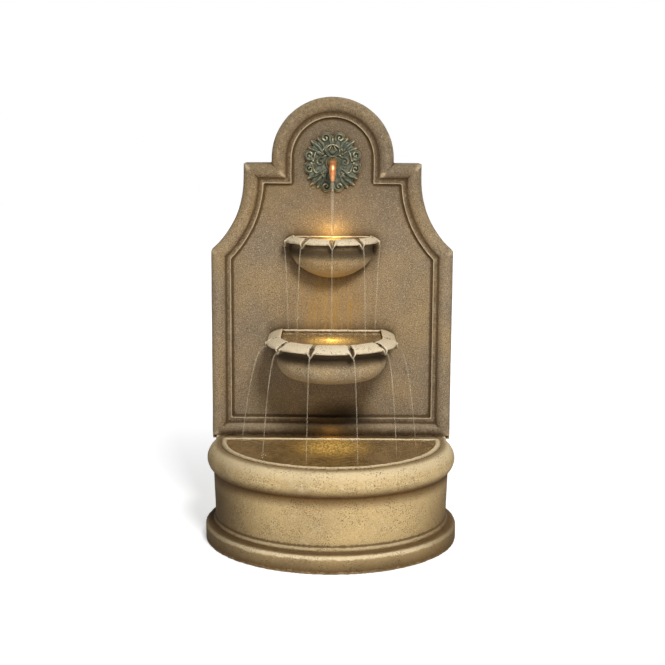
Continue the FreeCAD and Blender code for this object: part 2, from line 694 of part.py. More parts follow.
def sweep_start(inset):
    """Height where the side sweeps start in the panel's outline drawn in by an inset."""
    sweep = "(sweep_radius + (%s))" % inset
    across = "(shoulder_half + sweep_radius - panel_half + (%s))" % inset
    return "(sweep_height - sqrt(%s ^ 2 - %s ^ 2))" % (sweep, across)


def panel_corners(inset, foot):
    """The panel's outline drawn in by an inset, clockwise from its lower left corner."""
    side = "(panel_half - (%s))" % inset
    shoulder = "(shoulder_half - (%s))" % inset
    arch = "(arch_radius - (%s))" % inset
    sweep = "(sweep_radius + (%s))" % inset
    top = "(shoulder_height - (%s))" % inset
    start = sweep_start(inset)
    left = [
        ("-" + side, foot),
        ("-" + side, start),
        ("-" + shoulder, "sweep_height", sweep, 1),
        ("-" + shoulder, top),
    ]
    right = [(shoulder, top), (shoulder, "sweep_height"), (side, start, sweep, 1), (side, foot)]
    if number(top) <= number("sweep_height"):
        reach = "sqrt(%s ^ 2 - (sweep_height - %s) ^ 2)" % (sweep, top)
        shoulder = "(shoulder_half + sweep_radius - %s)" % reach
        left[2:] = [("-" + shoulder, top, sweep, 1)]
        right[:2] = [(shoulder, top)]
    return left + [
        ("-" + arch, top),
        ("-" + arch, "arch_height"),
        ("0", "arch_height + " + arch, arch, -1),
        (arch, "arch_height", arch, -1),
        (arch, top),
    ] + right


def panel_sketch(body, name, inset, plane, foot=None):
    """An inset outline of the panel on an upright plane."""
    if foot is None:
        foot = "frame_foot + (%s)" % inset
    sketch = sketch_on(body, name, "XZ_Plane", "-(%s)" % plane)
    return draw(sketch, panel_corners(inset, foot))


def cover_screw_spots():
    """Where the rear cover's screws go, as pairs of formulas."""
    inset = "((cover_inset + hollow_inset) / 2)"
    side = "(panel_half - %s)" % inset
    low = "(frame_foot + cover_screw_low)"
    high = "(%s - cover_screw_margin)" % sweep_start(inset)
    slope = "(arch_radius - %s) * sqrt(0.5)" % inset
    spots = []
    for sign in ("-", ""):
        for height in (low, "((%s + %s) / 2)" % (low, high), high):
            spots.append((sign + side, height))
        spots.append((sign + "(shoulder_half - %s)" % inset, "sweep_height + cover_screw_rise"))
        spots.append((sign + slope, "arch_height + " + slope))
    return spots


def wall_holes():
    """Round holes through the panel's front wall."""
    bolt = "bolt_radius + bolt_gap"
    holes = [
        ("0", "spout_height", "spout_radius + spout_fit"),
        ("stud_x", "rosette_height", "stud_radius + bolt_gap"),
        ("-stud_x", "rosette_height", "stud_radius + bolt_gap"),
        ("upper_lead_x", lamp_pivot_height("upper"), "grommet_radius"),
        ("lower_lead_x", lamp_pivot_height("lower"), "grommet_radius"),
    ]
    for sign in ("-", ""):
        holes.append((sign + "upper_bolt_x", "upper_bolt_z", bolt))
        holes.append((sign + "lower_bolt_x", "lower_bolt_z", bolt))
    return holes


def make_panel():
    """Back panel: slab, moulded frame, sunk field and the hollow behind."""
    body = new_body("panel_body")
    slab = panel_sketch(body, "slab_outline", "0", "back_plane", "panel_foot")
    feature(body, "Pad", "slab", slab, Length="back_plane - panel_front")
    rising = []
    falling = []
    for step in range(ROLL_STEPS + 1):
        turn = math.radians(90.0 * step / ROLL_STEPS)
        outer = "roll_width / 2 * %.5f" % (1 - math.cos(turn))
        inner = "roll_width / 2 * %.5f" % (1 + math.sin(turn))
        rising.append(panel_sketch(body, "roll_outer_%d" % step, outer,
                                   "panel_front - roll_rise * %.5f" % math.sin(turn)))
        falling.append(panel_sketch(body, "roll_inner_%d" % step, inner,
                                    "panel_front - roll_rise * %.5f" % math.cos(turn)))
    loft(body, "AdditiveLoft", "roll_rise_side", rising)
    loft(body, "SubtractiveLoft", "roll_fall_side", falling)
    crest = "(panel_front - roll_rise - overcut)"
    trim = sketch_on(body, "ledge_trim", "XZ_Plane", "-" + crest)
    draw(trim, rectangle("-panel_half", "panel_foot", "panel_half", "ledge_height"))
    feature(body, "Pocket", "clear_of_ledge", trim, Length="roll_rise + overcut")
    quirk = panel_sketch(body, "quirk_outline", "roll_width", "panel_front")
    feature(body, "Pocket", "quirk", quirk, Length="quirk_depth")
    edge = "roll_width + quirk_width"
    fillet = panel_sketch(body, "fillet_outline", edge, "panel_front + quirk_depth")
    feature(body, "Pad", "fillet", fillet, Length="quirk_depth + fillet_rise")
    edge += " + fillet_width"
    arris = panel_sketch(body, "arris_outline", edge, "panel_front - fillet_rise")
    feature(body, "Pad", "arris", arris, Length="arris_rise")
    edge += " + arris_width"
    field = panel_sketch(body, "field_outline", edge, "panel_front - fillet_rise - arris_rise")
    feature(body, "Pocket", "field", field,
            Length="field_plane - panel_front + fillet_rise + arris_rise")
    rebate = panel_sketch(body, "rebate_outline", "cover_inset", "cover_front",
                          "panel_foot + cover_inset")
    feature(body, "Pocket", "rebate", rebate, Length="back_plane - cover_front + overcut")
    hollow = panel_sketch(body, "hollow_outline", "hollow_inset", "wall_inner",
                          "panel_foot + foot_wall")
    feature(body, "Pocket", "hollow", hollow, Length="cover_front - wall_inner + overcut")
    holes = sketch_on(body, "wall_hole_plan", "XZ_Plane", "-(wall_inner + overcut)")
    draw_circles(holes, wall_holes())
    feature(body, "Pocket", "wall_holes", holes, reverse=True,
            Length="wall_inner - field_plane + 2 * overcut")
    screws = sketch_on(body, "cover_screw_plan", "XZ_Plane", "-cover_front")
    draw_circles(screws, [(x, z, "screw_radius") for x, z in cover_screw_spots()])
    feature(body, "Pocket", "cover_screw_holes", screws, reverse=True,
            Length="screw_length - cover_thick")
    for name, middle, reach in (("hose", "hose_slot_x", "hose_slot_half"),
                                ("lead", "lead_slot_x", "lead_slot_half")):
        slot = sketch_on(body, name + "_foot_slot_plan", "XY_Plane", "panel_foot + foot_wall + overcut")
        draw(slot, rectangle("%s - %s" % (middle, reach), "slot_front",
                             "%s + %s" % (middle, reach), "slot_back"))
        feature(body, "Pocket", name + "_foot_slot", slot, Length="foot_wall + 2 * overcut")
    bolts = sketch_on(body, "foot_bolt_plan", "XY_Plane", "panel_foot + foot_wall + overcut")
    draw_circles(bolts, [("seat_bolt_x", "duct_y", "bolt_radius + bolt_gap"),
                         ("-seat_bolt_x", "duct_y", "bolt_radius + bolt_gap")])
    feature(body, "Pocket", "foot_bolt_holes", bolts, Length="foot_wall + 2 * overcut")
    node("back_panel", body)


def make_rear_cover():
    """Rear cover: a plate in the rebate, with the hatch and its holes."""
    body = new_body("cover_body")
    outline = panel_sketch(body, "cover_outline", "cover_inset + cover_gap",
                           "cover_front + cover_thick", "panel_foot + cover_inset + cover_gap")
    feature(body, "Pad", "cover_plate", outline, Length="cover_thick")
    hatch = sketch_on(body, "hatch_plan", "XZ_Plane", "-cover_front")
    draw(hatch, rectangle("-hatch_half", "hatch_foot", "hatch_half", "hatch_foot + hatch_tall"))
    feature(body, "Pocket", "hatch", hatch, Length="cover_thick + overcut")
    holes = [(x, z, "screw_radius + screw_gap") for x, z in cover_screw_spots()]
    holes.append(("gland_x", "gland_z", "gland_thread"))
    holes.append(("spacer_x", "rail_height", "rail_screw + screw_gap"))
    holes.append(("-spacer_x", "rail_height", "rail_screw + screw_gap"))
    plan = sketch_on(body, "cover_hole_plan", "XZ_Plane", "-(cover_front - overcut)")
    draw_circles(plan, holes)
    feature(body, "Pocket", "cover_holes", plan, Length="cover_thick + 2 * overcut")
    node("rear_cover", body)
    screws = []
    for index, (x, z) in enumerate(cover_screw_spots()):
        head = rod("cover_screw_head_%d" % index, "screw_head", "screw_head_thick",
                   (x, "cover_front + cover_thick", z), "+Y")
        shank = rod("cover_screw_shank_%d" % index, "screw_radius", "screw_length",
                    (x, "cover_front + cover_thick", z), "-Y")
        screws.append(fuse("cover_screw_%d" % index, [head, shank]))
    node("rear_cover_screws", group("cover_screws", screws))


def make_door():
    """Access door over the hatch, its two hinges, knob and magnet catch."""
    face = "(cover_front + cover_thick)"
    inner = "(%s + door_gap)" % face
    half = "(hatch_half + door_lap)"
    plate = box("door_plate", ("-" + half, inner, "hatch_foot - door_lap"),
                ("2 * " + half, "door_thick", "hatch_tall + 2 * door_lap"))
    strike_left = "(hatch_half - catch_wide)"
    strike_spot = (strike_left, inner, "catch_height - catch_tall / 2")
    strike_size = ("catch_wide", "strike_thick", "catch_tall")
    pocket = box("strike_pocket", strike_spot, strike_size)
    node("access_door", cut("door_with_pocket", plate, [pocket]))
    node("door_strike", box("strike_plate", strike_spot, strike_size))
    node("door_magnet", box("magnet_block", (strike_left, "cover_front", "catch_height - catch_tall / 2"),
                            ("catch_wide", "cover_thick", "catch_tall")))
    outer = "(%s + door_thick)" % inner
    knob = rod("knob_head", "knob_radius", "knob_reach / 2",
               ("hatch_half - 2 * catch_wide", outer + " + knob_reach / 2", "catch_height"), "+Y")
    neck = rod("knob_neck", "knob_radius / 2", "knob_reach / 2",
               ("hatch_half - 2 * catch_wide", outer, "catch_height"), "+Y")
    node("door_knob", fuse("knob", [knob, neck]))
    axis_x = "(-%s - hinge_offset)" % half
    axis_y = "(%s + knuckle_lift + knuckle_radius)" % face
    fixed, moving, pins = [], [], []
    for name, middle in (("low", "hinge_low"), ("high", "hinge_high")):
        length = "knuckle_length"
        whole = "(3 * knuckle_length + 2 * knuckle_gap)"
        foot = "(%s - %s / 2)" % (middle, whole)
        head = "(%s + %s / 2)" % (middle, whole)
        second = "(%s + knuckle_length + knuckle_gap)" % foot
        reach = "(knuckle_radius + leaf_gap)"
        parts = [
            box("fixed_leaf_" + name, ("%s - %s - leaf_width" % (axis_x, reach), face, foot),
                ("leaf_width", "leaf_thick", whole)),
        ]
        for tag, start in (("a", foot), ("b", "(%s - knuckle_length)" % head)):
            parts.append(rod("fixed_knuckle_%s_%s" % (name, tag), "knuckle_radius", length,
                             (axis_x, axis_y, start)))
            parts.append(box("fixed_arm_%s_%s" % (name, tag), ("%s - %s" % (axis_x, reach), face, start),
                             (reach, "leaf_thick", length)))
        solid = fuse("fixed_hinge_" + name, parts)
        hole = rod("fixed_bore_" + name, "pin_radius", whole, (axis_x, axis_y, foot))
        fixed.append(cut("fixed_hinge_bored_" + name, solid, [hole]))
        parts = [
            box("door_leaf_" + name, ("%s + %s" % (axis_x, reach), outer, foot),
                ("leaf_width", "leaf_thick", whole)),
            rod("door_knuckle_" + name, "knuckle_radius", length, (axis_x, axis_y, second)),
            box("door_arm_" + name, (axis_x, outer, second), (reach, "leaf_thick", length)),
        ]
        solid = fuse("door_hinge_" + name, parts)
        hole = rod("door_bore_" + name, "pin_radius + pivot_gap", length, (axis_x, axis_y, second))
        moving.append(cut("door_hinge_bored_" + name, solid, [hole]))
        pins.append(rod("hinge_pin_" + name, "pin_radius", whole, (axis_x, axis_y, foot)))
    node("hinge_fixed_leaves", group("fixed_leaves", fixed))
    node("hinge_door_leaves", group("door_leaves", moving))
    node("hinge_pins", group("pins", pins))


# The bowls

def belly_terms(name):
    """Radius of the flatter arc and the point where the two belly arcs meet."""
    across = "(%s_belly - %s_corner)" % (name, name)
    flat = "((%s ^ 2 + %s_depth ^ 2 - %s_corner ^ 2) / (2 * (%s_depth - %s_corner)))" % (
        across, name, name, name, name)
    ratio = "(%s / (%s - %s_corner))" % (across, flat, name)
    fall = "((%s - %s_depth) / (%s - %s_corner))" % (flat, name, flat, name)
    return across, flat, ratio, fall


def bowl_profile(name):
    """Half section of a bowl's outside."""
    across, flat, ratio, fall = belly_terms(name)
    corners = [
        ("0", "N_middle - N_depth"),
        ("%s * %s" % (flat, ratio), "N_middle - N_corner * %s" % fall, flat, 1),
        ("%s + sqrt(N_corner ^ 2 - (N_shoulder - N_middle) ^ 2)" % across, "N_shoulder",
         "N_corner", 1),
        ("N_neck", "N_shoulder + lip_step"),
        ("N_neck", "N_lip + lip_step"),
        ("N_rim - lip_nose", "N_lip"),
        ("N_rim", "N_lip + lip_nose", "lip_nose", 1),
        ("N_rim - lip_draft", "N_lip + lip_nose + lip_step"),
        ("N_mouth + mouth_round", "N_top", "lip_crown", 1),
        ("N_mouth", "N_top - mouth_round", "mouth_round", 1),
        ("0", "N_top - mouth_round"),
    ]
    return [tuple(part.replace("N_", name + "_") if isinstance(part, str) else part
                  for part in corner) for corner in corners]


def cavity_profile(name):
    """Half section of a bowl's inside, one wall in from its belly."""
    across, flat, ratio, fall = belly_terms(name)
    corners = [
        ("0", "N_middle - N_depth + N_wall"),
        ("(%s - N_wall) * %s" % (flat, ratio), "N_middle - (N_corner - N_wall) * %s" % fall,
         "%s - N_wall" % flat, 1),
        ("N_belly - N_wall", "N_middle", "N_corner - N_wall", 1),
        ("N_mouth", "N_top - mouth_land"),
        ("N_mouth", "N_top + overcut"),
        ("0", "N_top + overcut"),
    ]
    return [tuple(part.replace("N_", name + "_") if isinstance(part, str) else part
                  for part in corner) for corner in corners]


def notch_sketch(body, tag, angle, distance, half, high, low):
    """A V section across a radius of the bowl, on a plane at a distance from its axis."""
    sketch = sketch_on(body, tag, "XZ_Plane")
    turn = math.radians(angle)
    sketch.AttachmentOffset = FreeCAD.Placement(
        FreeCAD.Vector(), FreeCAD.Rotation(FreeCAD.Vector(0, 1, 0), angle))
    bind(sketch, AttachmentOffset__Base__x="(%s) * %.6f" % (distance, math.sin(turn)),
         AttachmentOffset__Base__z="(%s) * %.6f" % (distance, math.cos(turn)))
    return draw(sketch, [("-(%s)" % half, high), ("0", low), (half, high)])


def make_bowl(name, angles):
    """A pouring bowl with a rounded front, a flat back and V-shaped beaks."""
    body = new_body(name + "_bowl_body")
    bind(body, Placement__Base__y=name + "_centre")
    half = bowl_profile(name)
    section = draw(sketch_on(body, name + "_half", "XZ_Plane"), half)
    turned = feature(body, "Revolution", name + "_front", section, reverse=True)
    turned.Angle = 180
    depth = "field_plane - %s_centre" % name
    whole = draw(sketch_on(body, name + "_whole", "XZ_Plane"), both_sides(half))
    feature(body, "Pad", name + "_sides", whole, reverse=True, Length=depth)
    rim, lip, mouth, top = (name + tail for tail in ("_rim", "_lip", "_mouth", "_top"))
    for index, angle in enumerate(angles):
        inside = notch_sketch(body, "%s_beak_in_%d" % (name, index), angle,
                              mouth + " + beak_start", "beak_half", top + " - beak_sink",
                              top + " - notch_depth - beak_wall - beak_sink")
        outside = notch_sketch(body, "%s_beak_out_%d" % (name, index), angle,
                               rim + " + beak_reach", "beak_half", lip + " + lip_nose + overcut",
                               lip + " - beak_drop - beak_wall")
        loft(body, "AdditiveLoft", "%s_beak_%d" % (name, index), [inside, outside])
    cavity = cavity_profile(name)
    hollow = draw(sketch_on(body, name + "_cavity_half", "XZ_Plane"), cavity)
    dug = feature(body, "Groove", name + "_hollow", hollow, reverse=True)
    dug.Angle = 180
    straight = draw(sketch_on(body, name + "_cavity_whole", "XZ_Plane"), both_sides(cavity))
    feature(body, "Pocket", name + "_hollow_back", straight, Length=depth + " - bowl_back")
    for index, angle in enumerate(angles):
        inside = notch_sketch(body, "%s_notch_in_%d" % (name, index), angle,
                              mouth + " - notch_back", "notch_half + overcut",
                              top + " + 2 * overcut", top + " - notch_depth")
        outside = notch_sketch(body, "%s_notch_out_%d" % (name, index), angle,
                               rim + " + 2 * beak_reach", "notch_half + overcut",
                               lip + " + lip_nose + channel_rise", lip + " - beak_drop")
        loft(body, "SubtractiveLoft", "%s_notch_%d" % (name, index), [inside, outside])
    holes = sketch_on(body, name + "_back_hole_plan", "XZ_Plane", "-(%s + overcut)" % depth)
    bolt = "bolt_radius + bolt_gap"
    draw_circles(holes, [
        (name + "_bolt_x", name + "_bolt_z", bolt),
        ("-%s_bolt_x" % name, name + "_bolt_z", bolt),
        (name + "_lead_x", lamp_pivot_height(name), "grommet_radius"),
    ])
    feature(body, "Pocket", name + "_back_holes", holes, reverse=True,
            Length="bowl_back + 2 * overcut")
    node(name + "_bowl", body)


# Rosette and spout

SCROLLS = (
    (18, 62, 13), (59, 21, 13), (59, -13, 13), (15, -57, 14),
    (49, 52, 11), (47, -46, 11), (33, 60, 9), (36, -56, 9), (66, 38, 7), (66, -32, 7),
)


def make_rosette():
    """Bronze rosette: disc, rings, boss and pairs of round scrolls, with its two studs."""
    disc = rod("rosette_disc", "rosette_radius", "rosette_thick",
               ("0", "field_plane", "rosette_height"), "-Y")
    front = "(field_plane - rosette_thick)"
    boss = cone("rosette_boss", "boss_radius", "boss_radius - boss_slope", "boss_rise",
                ("0", front, "spout_height"), "-Y")
    parts = [disc, boss,
             ring("rosette_rim", "rosette_radius - rosette_bead", "rosette_bead",
                  ("0", front, "rosette_height"), "-Y"),
             ring("cartouche", "cartouche_radius", "cartouche_round",
                  ("0", front, "rosette_height + cartouche_rise"), "-Y")]
    for index, (x, z, radius) in enumerate(SCROLLS):
        for sign in (-1, 1):
            tag = "%d_%s" % (index, "left" if sign < 0 else "right")
            spot = (str(sign * x), "field_plane", "rosette_height + %d" % z)
            parts.append(cone("scroll_" + tag, str(radius), "%d - scroll_slope" % radius,
                              "rosette_thick + rosette_relief", spot, "-Y"))
    solid = fuse("rosette_solid", parts)
    bore = rod("rosette_bore", "spout_radius + spout_fit", "rosette_thick + boss_rise + 2 * overcut",
               ("0", "field_plane + overcut", "spout_height"), "-Y")
    tools = [bore]
    studs = []
    for tag, x in (("left", "-stud_x"), ("right", "stud_x")):
        tools.append(rod("stud_hole_" + tag, "stud_radius", "stud_depth + overcut",
                         (x, "field_plane + overcut", "rosette_height"), "-Y"))
        shank = rod("stud_shank_" + tag, "stud_radius",
                    "wall_inner - field_plane + stud_depth + stud_nut_thick + bolt_tail",
                    (x, "field_plane - stud_depth", "rosette_height"), "+Y")
        nut = hexagon("stud_nut_" + tag, "stud_nut", "stud_nut_thick",
                      (x, "wall_inner", "rosette_height"), "+Y")
        studs.append(fuse("stud_" + tag, [shank, nut]))
    node("rosette", cut("rosette_bored", solid, tools))
    node("rosette_studs", group("studs", studs))


def spout_solid(name, shrink):
    """The spout's straight tube, quarter bend and tapered end, drawn in by a wall."""
    radius = "(spout_radius - %s)" % shrink
    tip = "(spout_tip_radius - %s)" % shrink
    bend_y = "(field_plane - spout_reach)"
    tail = "(wall_inner + locknut_thick + socket_depth)"
    straight = rod(name + "_straight", radius, "%s - %s" % (tail, bend_y),
                   ("0", tail, "spout_height"), "-Y")
    bend = doc.addObject("Part::Torus", name + "_bend")
    bind(bend, Radius1="spout_bend", Radius2=radius)
    bend.Angle3 = 90
    bend.Placement = FreeCAD.Placement(FreeCAD.Vector(), FreeCAD.Rotation(
        FreeCAD.Vector(0, 0, 1), FreeCAD.Vector(0, -1, 0), FreeCAD.Vector(1, 0, 0), "ZXY"))
    bind(bend, Placement__Base__y=bend_y, Placement__Base__z="spout_height - spout_bend")
    end = cone(name + "_end", radius, tip, "spout_drop",
               ("0", bend_y + " - spout_bend", "spout_height - spout_bend"), "-Z")
    return fuse(name + "_solid", [straight, bend, end])


def make_spout():
    """Copper spout tube with its collar, locknut and elbow."""
    node("spout_tube", cut("spout_bored", spout_solid("spout", "0"),
                           [spout_solid("spout_bore", "spout_wall")]))
    front = "(field_plane - rosette_thick - boss_rise)"
    collar = rod("collar_disc", "collar_radius", "collar_thick", ("0", front, "spout_height"), "-Y")
    hole = rod("collar_hole", "spout_radius", "collar_thick + 2 * overcut",
               ("0", front + " + overcut", "spout_height"), "-Y")
    node("spout_collar", cut("collar_bored", collar, [hole]))
    nut = hexagon("locknut_prism", "locknut_radius", "locknut_thick",
                  ("0", "wall_inner", "spout_height"), "+Y")
    hole = rod("locknut_hole", "spout_radius", "locknut_thick + 2 * overcut",
               ("0", "wall_inner - overcut", "spout_height"), "+Y")
    node("spout_locknut", cut("locknut_bored", nut, [hole]))
    face = "(wall_inner + locknut_thick)"
    barrel = rod("elbow_barrel", "elbow_radius", "duct_y - %s + elbow_radius" % face,
                 ("0", face, "spout_height"), "+Y")
    drop = rod("elbow_drop_tube", "hose_radius + elbow_collar", "elbow_drop",
               ("0", "duct_y", "spout_height"), "-Z")
    barb = rod("elbow_barb", "hose_bore", "elbow_drop + barb_length",
               ("0", "duct_y", "spout_height"), "-Z")
    solid = fuse("elbow_solid", [barrel, drop, barb])
    socket = rod("elbow_socket", "spout_radius", "socket_depth", ("0", face, "spout_height"), "+Y")
    bore = rod("elbow_bore", "water_bore", "elbow_drop + barb_length + overcut",
               ("0", "duct_y", "spout_height"), "-Z")
    across = rod("elbow_cross_bore", "water_bore", "duct_y - %s" % face,
                 ("0", face, "spout_height"), "+Y")
    node("spout_elbow", cut("elbow_bored", solid, [socket, bore, across]))


# Pump and hose

PUMP_Z = "(pool_floor + foot_height + pump_half_height)"
MOTOR_END = "(pump_left + motor_length)"
CHAMBER_END = "(pump_left + motor_length + chamber_length)"
OUTLET_X = "(pump_left + motor_length + chamber_depth / 2)"
PUMP_TOP = "(pool_floor + foot_height + 2 * pump_half_height)"
PUMP_LEAD_X = "(pump_left + pump_lead_inset)"


def pump_block(name, start, length):
    """A block of the pump's square section along X."""
    return box(name, (start, "pump_y - pump_half", "pool_floor + foot_height"),
               (length, "2 * pump_half", "2 * pump_half_height"))


def make_pump():
    """Submersible pump: motor block, chamber, rotor with vanes, shaft, bushes and feet."""
    well = rod("rotor_well", "well_radius", "motor_length - well_end",
               (MOTOR_END, "pump_y", PUMP_Z), "-X")
    plug = rod("motor_lead_hole", "lead_radius", "pump_lead_depth",
               (PUMP_LEAD_X, "pump_y", PUMP_TOP), "-Z")
    node("pump_housing", cut("motor_block_bored", pump_block("motor_block", "pump_left", "motor_length"),
                             [well, plug]))
    collar = rod("outlet_collar_rod", "outlet_collar", "collar_height", (OUTLET_X, "pump_y", PUMP_TOP))
    barb = rod("outlet_barb", "hose_bore", "collar_height + barb_length", (OUTLET_X, "pump_y", PUMP_TOP))
    solid = fuse("chamber_solid", [pump_block("chamber_block", MOTOR_END, "chamber_length"), collar, barb])
    hollow = rod("chamber_hollow", "chamber_radius", "chamber_depth", (MOTOR_END, "pump_y", PUMP_Z), "+X")
    intake = rod("intake_hole", "intake_radius", "chamber_length - chamber_depth",
                 (CHAMBER_END, "pump_y", PUMP_Z), "-X")
    outlet = rod("outlet_bore", "water_bore", "pump_half_height + collar_height + barb_length",
                 (OUTLET_X, "pump_y", PUMP_Z))
    bored = cut("chamber_bored", solid, [hollow, intake, outlet])
    spider_x = "(%s + chamber_depth)" % MOTOR_END
    arms = [
        box("spider_across",
            (spider_x, "pump_y - intake_radius", PUMP_Z + " - spider_thick / 2"),
            ("bush_length", "2 * intake_radius", "spider_thick")),
        box("spider_up", (spider_x, "pump_y - spider_thick / 2", PUMP_Z + " - intake_radius"),
            ("bush_length", "spider_thick", "2 * intake_radius")),
        rod("spider_hub", "bush_radius + bush_ring", "bush_length",
            (spider_x, "pump_y", PUMP_Z), "+X"),
    ]
    with_spider = fuse("chamber_with_spider", [bored] + arms)
    seat = rod("spider_bore", "bush_radius", "bush_length + 2 * overcut",
               (spider_x + " - overcut", "pump_y", PUMP_Z), "+X")
    node("pump_chamber", cut("chamber_finished", with_spider, [seat]))
    shaft_start = "(pump_left + well_end)"
    shaft_length = "(%s + bush_length - %s)" % (spider_x, shaft_start)
    node("pump_shaft", rod("shaft_rod", "shaft_radius", shaft_length,
                           (shaft_start, "pump_y", PUMP_Z), "+X"))
    bushes = []
    for tag, start in (("back", shaft_start), ("front", spider_x)):
        outer = rod("bush_%s_outer" % tag, "bush_radius", "bush_length", (start, "pump_y", PUMP_Z), "+X")
        inner = rod("bush_%s_inner" % tag, "shaft_radius", "bush_length + 2 * overcut",
                    (start + " - overcut", "pump_y", PUMP_Z), "+X")
        bushes.append(cut("bush_" + tag, outer, [inner]))
    node("pump_bushes", group("bushes", bushes))
    rotor_start = "(%s + bush_length + rotor_gap)" % shaft_start
    vane_start = "(%s + vane_gap)" % MOTOR_END
    vane_end = "(%s - rotor_gap)" % spider_x
    parts = [
        rod("rotor_magnet", "well_radius - rotor_gap", "%s - %s" % (vane_start, rotor_start),
            (rotor_start, "pump_y", PUMP_Z), "+X"),
        rod("vane_disc_rod", "vane_radius", "vane_disc", (vane_start, "pump_y", PUMP_Z), "+X"),
        rod("vane_hub", "bush_radius", "%s - %s" % (vane_end, vane_start),
            (vane_start, "pump_y", PUMP_Z), "+X"),
    ]
    for index in range(VANE_COUNT):
        vane = doc.addObject("Part::Box", "vane_%d" % index)
        bind(vane, Length="%s - %s" % (vane_end, vane_start), Width="vane_radius - vane_tip",
             Height="vane_thick")
        vane.Placement = FreeCAD.Placement(FreeCAD.Vector(), FreeCAD.Rotation(
            FreeCAD.Vector(1, 0, 0), 360.0 * index / VANE_COUNT))
        bind(vane, Placement__Base__x=vane_start, Placement__Base__y="pump_y", Placement__Base__z=PUMP_Z)
        parts.append(vane)
    solid = fuse("impeller_solid", parts)
    bore = rod("impeller_bore", "shaft_radius + shaft_gap", "motor_length + chamber_length",
               ("pump_left", "pump_y", PUMP_Z), "+X")
    node("pump_impeller", cut("impeller_bored", solid, [bore]))
    feet = []
    for tag, x in (("left", "pump_left + foot_inset_x"), ("right", MOTOR_END + " - foot_inset_x")):
        for side, y in (("front", "pump_y - pump_half + foot_inset_y"),
                        ("back", "pump_y + pump_half - foot_inset_y")):
            feet.append(cone("foot_%s_%s" % (tag, side), "foot_radius", "foot_radius - foot_taper",
                             "foot_height", (x, y, "pool_floor")))
    node("pump_feet", group("feet", feet))


def make_strainer():
    """Slotted strainer cup on the pump's intake, with its turning flow dial."""
    outside = pump_block("strainer_block", CHAMBER_END, "strainer_length")
    inside = box("strainer_inside",
                 (CHAMBER_END, "pump_y - pump_half + strainer_wall",
                  "pool_floor + foot_height + strainer_wall"),
                 ("strainer_length - strainer_wall", "2 * (pump_half - strainer_wall)",
                  "2 * (pump_half_height - strainer_wall)"))
    tools = [inside]
    end = "(%s + strainer_length)" % CHAMBER_END
    for index, steps in enumerate(END_SLOTS):
        tools.append(box("strainer_slot_%d" % index,
                         (end + " - strainer_wall - overcut",
                          "pump_y + %.1f * slot_pitch - strainer_slot / 2" % steps,
                          "pool_floor + foot_height + slot_margin"),
                         ("strainer_wall + 2 * overcut", "strainer_slot",
                          "2 * (pump_half_height - slot_margin)")))
    for index in range(TOP_SLOTS):
        tools.append(box("strainer_top_slot_%d" % index,
                         (CHAMBER_END + " + %d * slot_pitch - strainer_slot / 2" % (index + 1),
                          "pump_y - pump_half + slot_margin",
                          PUMP_TOP + " - strainer_wall - overcut"),
                         ("strainer_slot", "2 * (pump_half - slot_margin)",
                          "strainer_wall + 2 * overcut")))
    tools.append(rod("spindle_hole", "spindle_radius + pivot_gap", "strainer_wall + 2 * overcut",
                     (end + " - strainer_wall - overcut", "pump_y", PUMP_Z), "+X"))
    node("pump_strainer", cut("strainer_cup", outside, tools))
    gap = "door_gap"
    spindle = rod("dial_spindle", "spindle_radius", "strainer_wall + 2 * %s" % gap,
                  (end + " - strainer_wall - " + gap, "pump_y", PUMP_Z), "+X")
    keeper = rod("dial_keeper", "spindle_radius + keeper_lip", "keeper_lip",
                 ("%s - strainer_wall - %s" % (end, gap), "pump_y", PUMP_Z), "-X")
    disc = rod("dial_disc", "dial_radius", "dial_thick", ("%s + %s" % (end, gap), "pump_y", PUMP_Z), "+X")
    grip = box("dial_grip", ("%s + %s + dial_thick" % (end, gap), "pump_y - grip_thick / 2",
                             PUMP_Z + " - dial_radius + grip_margin"),
               ("grip_thick", "grip_thick", "2 * (dial_radius - grip_margin)"))
    node("flow_dial", fuse("dial", [spindle, keeper, disc, grip]))


